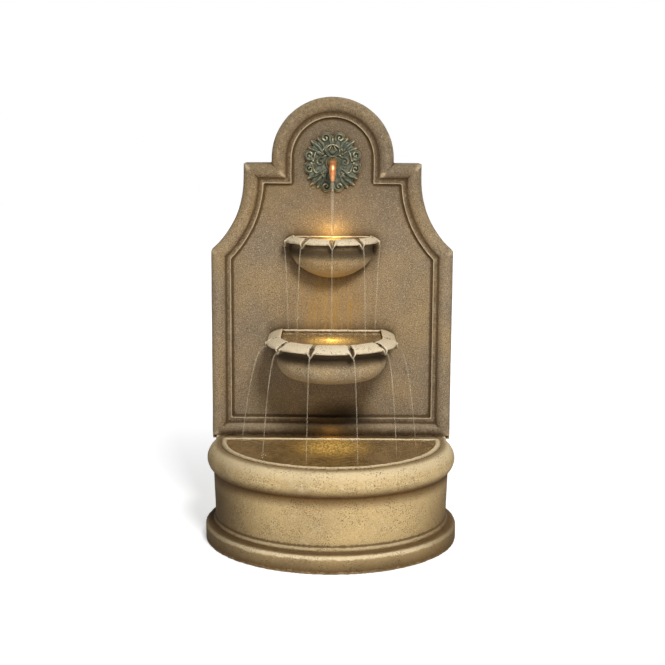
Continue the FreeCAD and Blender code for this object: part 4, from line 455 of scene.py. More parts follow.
@dataclass(frozen=True)
class Bronze:
    """Dark green bronze with pale crests, partly rubbed and partly painted highlight."""

    name: str
    # colours of the raised crests: partly rubbed bronze, partly painted highlight
    crest_and_highlight: Rgb = srgb(216, 204, 166)
    gold_and_highlight: Rgb = srgb(138, 128, 92)
    green: Rgb = srgb(112, 116, 98)
    dark: Rgb = srgb(66, 70, 56)

    def material(self) -> bpy.types.Material:
        """Build the bronze's material.

        Returns:
            The material.
        """
        tree = ShaderTree(self.name)
        film = tree.noise(120.0, 4.0, 0.65)
        grain = tree.noise(1400.0, 2.0, 0.6)
        colour = tree.mix(tree.level(film, 0.38, 0.62), self.dark, self.green)
        shut = tree.level(tree.hollows(9 * MM, 8), 0.30, 0.90, 1.0, 0.0)
        colour = tree.mix(tree.maths("MULTIPLY", shut, 0.8), colour, self.dark)
        relief = tree.attribute("relief")
        # partly painted highlight: the raised crests turn gold and then pale
        colour = tree.mix(tree.level(relief, 0.06, 0.20, 0.0, 0.6), colour, self.gold_and_highlight)
        colour = tree.mix(tree.level(relief, 0.18, 0.36, 0.0, 0.75), colour, self.crest_and_highlight)
        return tree.surface(Base_Color=colour, Metallic=0.4,
                            Roughness=tree.level(film, 0.3, 0.7, 0.30, 0.52),
                            Normal=tree.bump(grain, 0.15 * MM, 0.4))


@dataclass(frozen=True)
class MouldedPlastic:
    """Moulded plastic, rubber or powder paint: one colour with a fine skin and slight dust."""

    name: str
    colour: Rgb
    dust: Rgb = srgb(150, 140, 124)
    shade: Rgb = srgb(60, 55, 48)
    rough: float = 0.5
    skin_per_metre: float = 1500.0
    skin_depth: float = 0.10 * MM
    dusty: float = 0.18
    specular: float = 0.5

    def material(self) -> bpy.types.Material:
        """Build the plastic's material.

        Returns:
            The material.
        """
        tree = ShaderTree(self.name)
        film = tree.noise(45.0, 4.0, 0.6)
        skin = tree.noise(self.skin_per_metre, 2.0, 0.6)
        open_air = tree.level(tree.hollows(12 * MM, 6), 0.4, 1.0)
        share = tree.maths("MULTIPLY", tree.level(film, 0.42, 0.72, 0.0, self.dusty), open_air)
        shaded = tree.mix(tree.level(film, 0.3, 0.7, 0.16, 0.0), self.colour, self.shade, Blend.DARKEN)
        return tree.surface(Base_Color=tree.mix(share, shaded, self.dust),
                            Roughness=tree.level(film, 0.3, 0.7, self.rough, self.rough + 0.2),
                            Normal=tree.bump(skin, self.skin_depth, 0.5),
                            Specular_IOR_Level=self.specular)


@dataclass(frozen=True)
class LitGlass:
    """A lamp's lens: ribbed warm glass that glows."""

    name: str
    glass: Rgb = srgb(250, 235, 205)
    ember: Rgb = srgb(255, 190, 96)
    glow: Rgb = srgb(255, 214, 140)
    strength: float = 1.1

    def material(self) -> bpy.types.Material:
        """Build the lens's material.

        Returns:
            The material.
        """
        tree = ShaderTree(self.name)
        ribs = tree.noise(260.0, 1.0, 0.3)
        heart = tree.mix(tree.level(ribs, 0.35, 0.65), self.ember, self.glow)
        return tree.surface(Base_Color=self.glass, Roughness=0.12,
                            Emission_Color=heart, Emission_Strength=self.strength,
                            Normal=tree.bump(ribs, 0.4 * MM, 0.4))


@dataclass(frozen=True)
class Water:
    """Clear water with a glossy skin, painted reflection streaks, and a painted glow with glints where a
    lamp lies below.
    """

    name: str
    tint: Rgb = srgb(168, 131, 76)
    glow: Rgb = srgb(255, 206, 104)
    clear: float = 0.52
    edge: float = 0.80
    ripple_per_metre: float = 80.0
    ripple_depth: float = 1.6 * MM
    sheen: float = 1.0
    # lamp, lit_reach and lit place and size the painted glow round the lamp
    lamp: Place | None = None
    lit_reach: float = 0.07
    lit: float = 1.5

    def material(self) -> bpy.types.Material:
        """Build the water's material.

        Returns:
            The material.
        """
        tree = ShaderTree(self.name)
        ripple = tree.noise(self.ripple_per_metre, 2.0, 0.5)
        facing = tree.add("ShaderNodeLayerWeight", {"Blend": 0.45}).outputs["Facing"]
        see = tree.level(facing, 0.15, 0.95, self.clear, self.edge)
        # painted reflection: streaks stretched along the view paint the mirrored panel into the water's
        # colour
        streaks = tree.noise(42.0, 3.0, 0.6, (1.0, 0.5, 1.0))
        deep = tuple(0.6 * part for part in self.tint)
        tint = tree.mix(tree.level(streaks, 0.34, 0.66), deep, self.tint)
        values = dict(Base_Color=tint, Roughness=0.07, IOR=1.33, Alpha=see,
                      Coat_Weight=self.sheen, Coat_Roughness=0.03,
                      Normal=tree.bump(ripple, self.ripple_depth, 0.7))
        if self.lamp is not None:
            # painted light: the water itself glows, with glints, round the lamp below
            near = tree.level(tree.distance(self.lamp), 12 * MM, self.lit_reach, 1.0, 0.0)
            painted_glints = tree.level(tree.noise(190.0, 2.0, 0.5, (1.0, 0.5, 1.0)), 0.38, 0.68, 0.22, 1.0)
            share = tree.maths("MULTIPLY", near, painted_glints)
            values.update(Emission_Color=self.glow,
                          Emission_Strength=tree.maths("MULTIPLY", share, self.lit))
        return tree.surface(**values)


# Mesh work


def new_object(name: str, data: bpy.types.ID) -> bpy.types.Object:
    """Put a mesh, a light or a camera in the scene, at the origin.

    Args:
        name: the object's name.
        data: what it shows.

    Returns:
        The new object.
    """
    thing = bpy.data.objects.new(name, data)
    bpy.context.scene.collection.objects.link(thing)
    return thing


def finish_mesh(form: bmesh.types.BMesh, name: str) -> bpy.types.Object:
    """Turn a modelled form into a smooth object with its faces outwards.

    Args:
        form: the bmesh, which is freed.
        name: the object's name.

    Returns:
        The new object.
    """
    bmesh.ops.remove_doubles(form, verts=form.verts, dist=1e-6)
    bmesh.ops.recalc_face_normals(form, faces=form.faces)
    for face in form.faces:
        face.smooth = True
    mesh = bpy.data.meshes.new(name)
    form.to_mesh(mesh)
    form.free()
    return new_object(name, mesh)


def bake_modifiers(thing: bpy.types.Object) -> None:
    """Replace an object's mesh by what its modifiers make of it.

    Args:
        thing: the object, which loses its modifiers.
    """
    seen = thing.evaluated_get(bpy.context.evaluated_depsgraph_get())
    mesh = bpy.data.meshes.new_from_object(seen)
    thing.modifiers.clear()
    thing.data = mesh


def merged_copy(node: str, name: str) -> bpy.types.Object:
    """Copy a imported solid's mesh with its loose triangles joined.

    Args:
        node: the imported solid.
        name: the copy's name.

    Returns:
        The copy, as a new object.
    """
    form = bmesh.new()
    form.from_mesh(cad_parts[node].data)
    bmesh.ops.remove_doubles(form, verts=form.verts, dist=1e-6)
    mesh = bpy.data.meshes.new(name)
    form.to_mesh(mesh)
    form.free()
    return new_object(name, mesh)


def point_values(mesh: bpy.types.Mesh, name: str) -> np.ndarray:
    """Read a vector value of every point, such as its place or its normal.

    Args:
        mesh: the mesh.
        name: "co" or "normal".

    Returns:
        One row for each point.
    """
    values = np.empty(len(mesh.vertices) * 3, dtype=np.float32)
    mesh.vertices.foreach_get(name, values)
    return values.reshape(-1, 3).astype(float)


def relief_of(mesh: bpy.types.Mesh, passes: int) -> np.ndarray:
    """Measure how far each point stands out of its surroundings, in millimetres.

    Args:
        mesh: the mesh, evenly divided.
        passes: how often the surroundings are averaged, which sets their reach.

    Returns:
        The relief of each point.
    """
    count = len(mesh.vertices)
    spots = point_values(mesh, "co")
    ends = np.empty(len(mesh.edges) * 2, dtype=np.int32)
    mesh.edges.foreach_get("vertices", ends)
    first, second = ends.reshape(-1, 2).T
    links = np.maximum(np.bincount(first, minlength=count) + np.bincount(second, minlength=count), 1)
    level = spots.copy()
    for _ in range(passes):
        spread = np.empty_like(level)
        for axis in range(3):
            spread[:, axis] = (np.bincount(first, level[second, axis], count)
                               + np.bincount(second, level[first, axis], count))
        level = 0.5 * level + 0.5 * spread / links[:, None]
    return ((spots - level) * point_values(mesh, "normal")).sum(axis=1) / MM


def mark_relief(mesh: bpy.types.Mesh, passes: int) -> None:
    """Keep each point's relief on the mesh, for its material.

    Args:
        mesh: the mesh.
        passes: how often the surroundings are averaged.
    """
    layer = mesh.attributes.new("relief", "FLOAT", "POINT")
    layer.data.foreach_set("value", relief_of(mesh, passes).astype(np.float32))


def grow(form: bmesh.types.BMesh, edges: list[bmesh.types.BMEdge]
         ) -> tuple[list[bmesh.types.BMVert], list[bmesh.types.BMEdge]]:
    """Extrude a closed line of edges.

    Args:
        form: the bmesh.
        edges: the line.

    Returns:
        The new points and the new line.
    """
    grown = bmesh.ops.extrude_edge_only(form, edges=edges)["geom"]
    verts = [part for part in grown if isinstance(part, bmesh.types.BMVert)]
    own = set(verts)
    line = [part for part in grown if isinstance(part, bmesh.types.BMEdge)
            and part.verts[0] in own and part.verts[1] in own]
    return verts, line


def sweep(form: bmesh.types.BMesh, path: Sequence[Vector], radii: Sequence[float], sides: int = 10,
          flat: float = 1.0) -> None:
    """Sweep a closed round or oval section along a path and cap both ends.

    Args:
        form: the bmesh to add to.
        path: points of the path.
        radii: the section's radius at each point.
        sides: corners of the section.
        flat: height of the section as a share of its width.
    """
    places = []
    turn = None
    for index, spot in enumerate(path):
        ahead = path[min(index + 1, len(path) - 1)] - path[max(index - 1, 0)]
        if turn is None:
            turn = ahead.to_track_quat("Z", "Y")
        else:
            turn = (turn @ Vector((0, 0, 1))).rotation_difference(ahead) @ turn
        size = Matrix.Diagonal((radii[index], radii[index] * flat, radii[index], 1.0))
        places.append(Matrix.Translation(spot) @ turn.to_matrix().to_4x4() @ size)
    made = bmesh.ops.create_circle(form, cap_ends=True, segments=sides, radius=1.0, matrix=places[0])
    edges = list({edge for vert in made["verts"] for edge in vert.link_edges})
    for before, after in zip(places, places[1:]):
        verts, edges = grow(form, edges)
        bmesh.ops.transform(form, matrix=after @ before.inverted(), verts=verts)
    bmesh.ops.contextual_create(form, geom=edges)


def grow_rings(form: bmesh.types.BMesh, segments: int, steps: Sequence[object],
               place: Callable[[float, object], Vector]) -> list[bmesh.types.BMVert]:
    """Grow a sheet outwards ring by ring from a small circle.

    Args:
        form: the bmesh to add to.
        segments: points of each ring.
        steps: one value for each ring.
        place: gives a point's place from its angle and its ring's value.

    Returns:
        The points of the first ring.
    """
    spoke = form.verts.layers.int.new("spoke")
    made = bmesh.ops.create_circle(form, cap_ends=False, segments=segments, radius=1.0)
    first = list(made["verts"])
    for index, vert in enumerate(first):
        vert[spoke] = index
        vert.co = place(2 * math.pi * index / segments, steps[0])
    edges = list({edge for vert in first for edge in vert.link_edges})
    for step in steps[1:]:
        verts, edges = grow(form, edges)
        for vert in verts:
            vert.co = place(2 * math.pi * vert[spoke] / segments, step)
    return first


# Stone castings


@dataclass
class StoneCasting:
    """One stone casting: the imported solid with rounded, chipped edges and an uneven skin."""

    node: str
    slot: str
    finish: CastStone
    voxel: float
    most_faces: int = 185_000
    wave: float = 1.1 * MM
    dimple: float = 0.5 * MM
    chip: float = 0.9 * MM
    wave_size: float = 55 * MM
    dimple_size: float = 11 * MM
    chips_per_metre: float = 55.0
    edge_relief: float = 0.12
    sharp_relief: float = 0.35
    wear_passes: int = 6
    shade_passes: int = 8

    def rough_out(self) -> bpy.types.Object:
        """Divide the solid evenly and give it a hand-cast unevenness.

        Returns:
            The roughed-out casting.
        """
        thing = merged_copy(self.node, "stone_" + self.node)
        even = thing.modifiers.new("even", "REMESH")
        even.mode = "VOXEL"
        even.voxel_size = self.voxel * 1.0
        soften = thing.modifiers.new("soften", "SMOOTH")
        soften.factor = 0.5
        soften.iterations = 2
        for label, size, strength in (("wave", self.wave_size, self.wave),
                                      ("dimple", self.dimple_size, self.dimple)):
            clouds = bpy.data.textures.new("%s_%s" % (self.node, label), "CLOUDS")
            clouds.noise_scale = size
            clouds.noise_depth = 2
            uneven = thing.modifiers.new(label, "DISPLACE")
            uneven.texture = clouds
            uneven.texture_coords = "LOCAL"
            uneven.strength = strength
            uneven.mid_level = 0.5
        bake_modifiers(thing)
        return thing

    def wear(self, thing: bpy.types.Object) -> None:
        """Rub the sharp edges down unevenly.

        Args:
            thing: the roughed-out casting.
        """
        mesh = thing.data
        relief = relief_of(mesh, self.wear_passes)
        spots = point_values(mesh, "co")
        normals = point_values(mesh, "normal")
        for index in np.nonzero(relief > self.edge_relief)[0]:
            rub = max(0.0, noise.noise(Vector(spots[index]) * self.chips_per_metre) + 0.15) * self.chip
            spots[index] -= normals[index] * rub * min(relief[index] / self.sharp_relief, 1.0)
        spots[:, 2] = np.maximum(spots[:, 2], 0.0)
        mesh.vertices.foreach_set("co", spots.astype(np.float32).ravel())
        mesh.update()

    def thin(self, thing: bpy.types.Object) -> None:
        """Take faces away where the stone is flat, down to the most it may have.

        Args:
            thing: the worn casting.
        """
        faces = 2 * len(thing.data.polygons)
        if faces > self.most_faces:
            fewer = thing.modifiers.new("fewer", "DECIMATE")
            fewer.ratio = self.most_faces / faces
            bake_modifiers(thing)

    def build(self) -> Iterable[bpy.types.Object]:
        """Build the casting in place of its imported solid.

        Yields:
            The casting.
        """
        thing = self.rough_out()
        self.wear(thing)
        mark_relief(thing.data, self.shade_passes)
        self.thin(thing)
        thing.data.polygons.foreach_set("use_smooth", [True] * len(thing.data.polygons))
        thing.data.materials.clear()
        thing.data.materials.append(self.finish.material())
        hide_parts(self.node)
        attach(thing, ROOT)
        yield thing


# Rosette


@dataclass(frozen=True)
class Stroke:
    """One raised line of the casting, in millimetres."""

    points: np.ndarray
    widths: np.ndarray
    heights: np.ndarray

    def mirrored(self) -> Stroke:
        """The same stroke on the other side of the upright axis."""
        return Stroke(self.points * np.array([-1.0, 1.0]), self.widths, self.heights)

    def raise_field(self, spots: np.ndarray, field: np.ndarray) -> None:
        """Raise a height field where this stroke passes.

        Args:
            spots: places of the field's points.
            field: heights, which are changed in place.
        """
        reach = self.widths.max()
        low = self.points.min(axis=0) - reach
        high = self.points.max(axis=0) + reach
        near = np.nonzero(((spots > low) & (spots < high)).all(axis=1))[0]
        local = spots[near]
        best = field[near]
        for index in range(len(self.points) - 1):
            start = self.points[index]
            run = self.points[index + 1] - start
            along = np.clip(((local - start) @ run) / max(run @ run, 1e-9), 0.0, 1.0)
            away = np.linalg.norm(local - start - along[:, None] * run, axis=1)
            width = self.widths[index] + along * (self.widths[index + 1] - self.widths[index])
            height = self.heights[index] + along * (self.heights[index + 1] - self.heights[index])
            dome = np.sqrt(np.clip(1.0 - (away / width) ** 2, 0.0, None))
            best = np.maximum(best, height * dome)
        field[near] = best


def bent(points: Sequence[tuple[float, float]], steps: int = 14) -> np.ndarray:
    """Draw a smooth line through a few points.

    Args:
        points: the points, in millimetres.
        steps: runs between two neighbours.

    Returns:
        The line's points.
    """
    anchors = np.array([points[0], *points, points[-1]], dtype=float)
    line = []
    for index in range(1, len(anchors) - 2):
        before, start, end, after = anchors[index - 1:index + 3]
        for step in range(steps):
            t = step / steps
            line.append(0.5 * (2 * start + (end - before) * t
                               + (2 * before - 5 * start + 4 * end - after) * t * t
                               + (3 * start - before - 3 * end + after) * t ** 3))
    line.append(anchors[-1])
    return np.array(line)


def scroll(centre: tuple[float, float], radius: float, start: float, turns: float, width: float,
           height: float, tail: Sequence[tuple[float, float]] = ()) -> Stroke:
    """A scroll that winds inwards, after a tail that leads to it.

    Args:
        centre: the scroll's eye.
        radius: its outer radius.
        start: angle where it starts, in degrees.
        turns: how often it winds, negative for clockwise.
        width: half width of the line.
        height: how far it stands out.
        tail: points that lead to its start.

    Returns:
        The scroll's stroke.
    """
    steps = 34
    share = np.linspace(0.0, 1.0, steps)
    angle = math.radians(start) + 2 * math.pi * turns * share
    reach = radius * (1.0 - 0.80 * share ** 0.85)
    curl = np.stack([centre[0] + reach * np.cos(angle), centre[1] + reach * np.sin(angle)], axis=1)
    lead = bent([*tail, tuple(curl[0])])[:-1] if tail else np.empty((0, 2))
    points = np.concatenate([lead, curl])
    swell = np.concatenate([np.linspace(0.35, 1.0, len(lead)), 1.0 - 0.35 * share])
    return Stroke(points, width * swell, height * (0.8 + 0.2 * swell))


def leaf(line: Sequence[tuple[float, float]], width: float, height: float) -> Stroke:
    """A leaf blade along a line: narrow foot, full middle, pointed tip.

    Args:
        line: points of its middle line.
        width: half width at the middle.
        height: how far it stands out.

    Returns:
        The leaf's stroke.
    """
    points = bent(line, 8)
    share = np.linspace(0.0, 1.0, len(points))
    body = np.sin(np.pi * np.clip(share * 0.86 + 0.10, 0, 1)) ** 0.8
    return Stroke(points, 0.5 + width * body, height * (0.55 + 0.45 * body))


@dataclass
class Rosette:
    """Cast bronze rosette of scrolls and leaves round the spout, with its sizes in millimetres."""

    node: str = "rosette"
    centre: Vector = Vector((0.0, 86 * MM, 978 * MM))
    bore: float = 9.2
    bore_rise: float = 3.0
    disc: float = 64.0
    plate: float = 5.5
    crown: float = 2.5
    crown_reach: float = 80.0
    edge_rings: float = 26.0
    edge_smoothing: int = 5
    shade_passes: int = 5
    border: float = 1.8
    segments: int = 560
    rings: int = 112
    spread: float = 1.05

    def strokes(self) -> list[Stroke]:
        """List every raised line: one half, its mirror image and the middle.

        Returns:
            The strokes.
        """
        half = [
            scroll((18, 63), 12.5, 205, -1.2, 3.9, 7.6, [(9, 33), (4, 44)]),
            scroll((57, 21), 12.0, 250, 1.2, 3.8, 7.6, [(24, 22), (40, 30), (48, 8)]),
            scroll((57, -13), 12.0, 100, -1.2, 3.8, 7.6, [(24, -14), (42, -22), (52, 0)]),
            scroll((16, -56), 12.5, 160, 1.2, 3.9, 7.6, [(8, -26), (3, -40)]),
            scroll((30, 4), 12.0, 120, -1.1, 3.2, 6.8, [(12, 20), (18, 20)]),
        ]
        for lean, far in ((-13, 70), (0, 76), (13, 71)):
            half.append(self.finger(46 + lean, 34, far, 4.0, 6.8))
            half.append(self.finger(-44 + lean, 32, far, 4.0, 6.8))
        for lean, far in ((-6, 68), (6, 68)):
            half.append(self.finger(5 + lean, 46, far, 3.2, 6.2))
        half += [
            leaf([(28, 30), (20, 38), (14, 45)], 3.2, 6.2),
            leaf([(28, -24), (21, -33), (16, -41)], 3.2, 6.2),
            leaf([(4, -16), (9, -26), (7, -36)], 3.2, 6.4),
        ]
        middle = [
            leaf([(0, 44), (0, 54), (0, 64)], 2.9, 9.5),
            leaf([(0, -22), (0, -34), (0, -47)], 3.0, 8.5),
            leaf([(0, -48), (0, -58), (0, -68)], 2.6, 8.0),
        ]
        for lean in (-52, -26, 26, 52):
            tip = (9.5 * math.sin(math.radians(lean)), 24 + 14 * math.cos(math.radians(lean)))
            middle.append(leaf([(0, 23), (tip[0] * 0.6, (tip[1] + 24) / 2), tip], 1.7, 8.4))
        middle.append(leaf([(0, 23), (0, 32), (0, 40)], 2.0, 9.0))
        turn = np.linspace(0.0, 2 * math.pi, 49)
        oval = np.stack([17.0 * np.cos(turn), 32 + 14.5 * np.sin(turn)], axis=1)
        middle.append(Stroke(oval, np.full(len(turn), 2.2), np.full(len(turn), 9.5)))
        collar = np.stack([15.5 * np.cos(turn), 2 + 15.5 * np.sin(turn)], axis=1)
        middle.append(Stroke(collar, np.full(len(turn), 3.4), np.full(len(turn), 9.0)))
        return half + [stroke.mirrored() for stroke in half] + middle

    def finger(self, angle: float, near: float, far: float, width: float, height: float) -> Stroke:
        """One leaf finger that points outwards.

        Args:
            angle: where it points, in degrees.
            near: where it starts, from the centre.
            far: where it ends.
            width: half width at the middle.
            height: how far it stands out.

        Returns:
            The finger's stroke.
        """
        along = math.radians(angle)
        bow = math.radians(angle + (4 if angle > 0 else -4))
        middle = (near + far) / 2
        return leaf([(near * math.cos(along), near * math.sin(along)),
                     (middle * math.cos(bow), middle * math.sin(bow)),
                     (far * math.cos(along), far * math.sin(along))], width, height)

    def outline(self, strokes: Sequence[Stroke]) -> np.ndarray:
        """Follow the strokes' ends round the lobed edge.

        Args:
            strokes: the raised lines.

        Returns:
            The reach from the centre at each of the ring's angles.
        """
        angles = 2 * math.pi * np.arange(self.segments) / self.segments
        reach = np.full(self.segments, self.disc)
        for stroke in strokes:
            for point, width in zip(stroke.points, stroke.widths + self.border):
                away = math.hypot(*point)
                swing = angles - math.atan2(point[1], point[0])
                across = away * np.sin(swing)
                hit = (np.abs(across) < width) & (np.cos(swing) > 0)
                edge = away * np.cos(swing) + np.sqrt(np.clip(width ** 2 - across ** 2, 0, None))
                reach = np.where(hit, np.maximum(reach, edge), reach)
        for _ in range(self.edge_smoothing):
            reach = 0.5 * reach + 0.25 * (np.roll(reach, 1) + np.roll(reach, -1))
        return reach

    def build(self) -> Iterable[bpy.types.Object]:
        """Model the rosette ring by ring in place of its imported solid.

        Yields:
            The rosette.
        """
        strokes = self.strokes()
        reach = self.outline(strokes)
        shares = np.linspace(0.0, 1.0, self.rings)
        angles = 2 * math.pi * np.arange(self.segments) / self.segments
        radii = self.bore + (reach[None, :] - self.bore) * shares[:, None]
        across = radii * np.cos(angles)
        up = radii * np.sin(angles)
        up += self.bore_rise * (1.0 - shares[:, None]) ** 2
        spots = np.stack([across.ravel(), up.ravel()], axis=1)
        field = np.zeros(len(spots))
        for stroke in strokes:
            stroke.raise_field(spots, field)
        base = self.plate + self.crown * (1.0 - (np.linalg.norm(spots, axis=1) / self.crown_reach) ** 2)
        rounding = np.clip((1.0 - shares) * self.edge_rings, 0.0, 1.0) ** 0.5
        heights = (base + field).reshape(radii.shape) * (0.45 + 0.55 * rounding[:, None])

        def place(angle: float, step: tuple[int, bool]) -> Vector:
            """Place a point of a ring on the front or on the wall.

            Args:
                angle: the spoke's angle, in radians.
                step: the ring's number, and whether the point is on the wall.

            Returns:
                The point, in the frame's metres.
            """
            spoke = round(angle * self.segments / (2 * math.pi)) % self.segments
            ring, on_wall = step
            rise = 0.0 if on_wall else heights[ring, spoke]
            return self.centre + Vector((across[ring, spoke] * self.spread, -rise,
                                         up[ring, spoke] * self.spread)) * MM

        steps = [(ring, False) for ring in range(self.rings)]
        steps += [(self.rings - 1, True), (0, True), (0, False)]
        form = bmesh.new()
        grow_rings(form, self.segments, steps, place)
        thing = finish_mesh(form, "rosette_casting")
        mark_relief(thing.data, self.shade_passes)
        thing.data.materials.append(Bronze("aged_bronze").material())
        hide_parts(self.node)
        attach(thing, ROOT)
        yield thing


# Water


@dataclass(frozen=True)
class Landing:
    """Where a stream meets a pool, in metres."""

    x: float
    y: float
    strength: float = 1.0


@dataclass
class Pool:
    """A still pool with rings where streams land: round in front, straight at the back."""

    name: str
    centre_y: float
    radius: float
    back_y: float
    level: float
    landings: list[Landing]
    # lamp_y, lit_reach and lit place and size the water's painted glow round its lamp
    lamp_y: float
    lit_reach: float
    lit: float
    thickness: float = 4 * MM
    segments: int = 160
    rings: int = 70
    wave_length: float = 17 * MM
    wave_height: float = 1.1 * MM
    swell: float = 0.35 * MM
    swells_per_metre: float = 28
    middle: float = 0.004

    def edge(self, angle: float) -> float:
        """Find how far the pool reaches from its centre.

        Args:
            angle: the direction, in radians.

        Returns:
            The reach.
        """
        if math.sin(angle) <= 0:
            return self.radius
        side = self.radius / max(abs(math.cos(angle)), 1e-6)
        return min(side, (self.back_y - self.centre_y) / math.sin(angle))

    def height(self, x: float, y: float) -> float:
        """Add the rings of all landings and a slight swell to the level.

        Args:
            x: the place's first coordinate.
            y: its second.

        Returns:
            The water's height there.
        """
        across = self.swells_per_metre
        rise = self.swell * noise.noise(Vector((x * across, y * across, self.level)))
        for landing in self.landings:
            away = math.hypot(x - landing.x, y - landing.y)
            fade = math.exp(-away / (3.2 * self.wave_length))
            rise += (self.wave_height * landing.strength * fade
                     * math.cos(2 * math.pi * away / self.wave_length))
        return self.level + rise

    def build(self) -> Iterable[bpy.types.Object]:
        """Model the pool's skin of water.

        Yields:
            The pool.
        """
        def place(angle: float, share: float) -> Vector:
            """Place a point of the rippled top, or of the flat underside.

            Args:
                angle: where it lies round the pool, in radians.
                share: how far out it lies, negative on the underside.

            Returns:
                The point, in the frame's metres.
            """
            reach = self.edge(angle) * max(abs(share), self.middle)
            x = reach * math.cos(angle)
            y = self.centre_y + reach * math.sin(angle)
            if share < 0:
                return Vector((x, y, self.level - self.thickness))
            return Vector((x, y, self.height(x, y)))

        shares = [step / self.rings for step in range(self.rings + 1)]
        form = bmesh.new()
        start = grow_rings(form, self.segments, shares + [-1.0, -0.5, -0.02], place)
        bmesh.ops.contextual_create(form, geom=start)
        bmesh.ops.holes_fill(form, edges=[edge for edge in form.edges if edge.is_boundary])
        thing = finish_mesh(form, self.name)
        finish = Water(self.name + "_water", lamp=(0.0, self.lamp_y, self.level),
                       lit_reach=self.lit_reach, lit=self.lit)
        thing.data.materials.append(finish.material())
        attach(thing, ROOT)
        yield thing


@dataclass
class Stream:
    """Water that runs down a notch and falls in an arc."""

    name: str
    path: list[Vector]
    radii: list[float]
    flat: float = 1.0
    sides: int = 10

    def build(self, finish: Water) -> Iterable[bpy.types.Object]:
        """Model the stream as one unbroken strand.

        Args:
            finish: the water's finish.

        Yields:
            The strand.
        """
        form = bmesh.new()
        sweep(form, self.path, self.radii, self.sides, self.flat)
        thing = finish_mesh(form, self.name)
        thing.data.materials.append(finish.material())
        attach(thing, ROOT)
        yield thing


@dataclass
class PouringBowl:
    """What runs over one bowl: a strand from each notch, keyed by its angle from the front.

    The value of a notch says how far out its water flies while it falls.
    """

    name: str
    centre_y: float
    mouth: float
    rim: float
    level: float
    notch_low: float
    beak_low: float
    notches: dict[int, float]
    floor: float
    back_y: float = 77.8 * MM
    falls: int = 26
    beyond_rim: float = 5 * MM

    def strand(self, angle: float, drift: float) -> Stream:
        """Lead the water through one notch and let it fall.

        Args:
            angle: where the notch lies, in degrees from the front.
            drift: how far out the water flies while it falls, in metres.

        Returns:
            The strand.
        """
        out = Vector((math.sin(math.radians(angle)), -math.cos(math.radians(angle)), 0.0))
        foot = Vector((0.0, self.centre_y, 0.0))
        top = self.beak_low + 2.5 * MM
        tip = self.rim + self.beyond_rim
        # distance from the bowl's axis, height and radius of each point
        spots = [(self.mouth - 15 * MM, self.level - 0.5 * MM, 6 * MM),
                 (self.mouth - 6 * MM, self.level - 1.5 * MM, 5.0 * MM),
                 (self.mouth + 4 * MM, self.notch_low + 3.5 * MM, 3.0 * MM),
                 (self.rim - 6 * MM, self.beak_low + 4.5 * MM, 2.3 * MM)]
        for step in range(self.falls + 1):
            share = step / self.falls
            wobble = 0.25 * noise.noise(Vector((angle, share * 9.0, self.floor * 10)))
            spots.append((tip + drift * share, top - (top - self.floor) * share ** 2,
                          (1.7 - 0.6 * share + wobble) * MM))
        path = [foot + out * reach + Vector((0, 0, height)) for reach, height, _ in spots]
        side = "l" if angle < 0 else "r"
        return Stream("%s_strand_%s%d" % (self.name, side, abs(angle)), path,
                      [radius for _, _, radius in spots])

    def landings(self) -> list[Landing]:
        """Find where the strands land.

        Returns:
            One landing for each notch.
        """
        found = []
        for angle, drift in self.notches.items():
            reach = self.rim + self.beyond_rim + drift
            turn = math.radians(angle)
            found.append(Landing(reach * math.sin(turn), self.centre_y - reach * math.cos(turn)))
        return found

    def build(self, finish: Water) -> Iterable[bpy.types.Object]:
        """Model the strands.

        Args:
            finish: the water's finish.
        """
        for angle, drift in self.notches.items():
            yield from self.strand(angle, drift).build(finish)


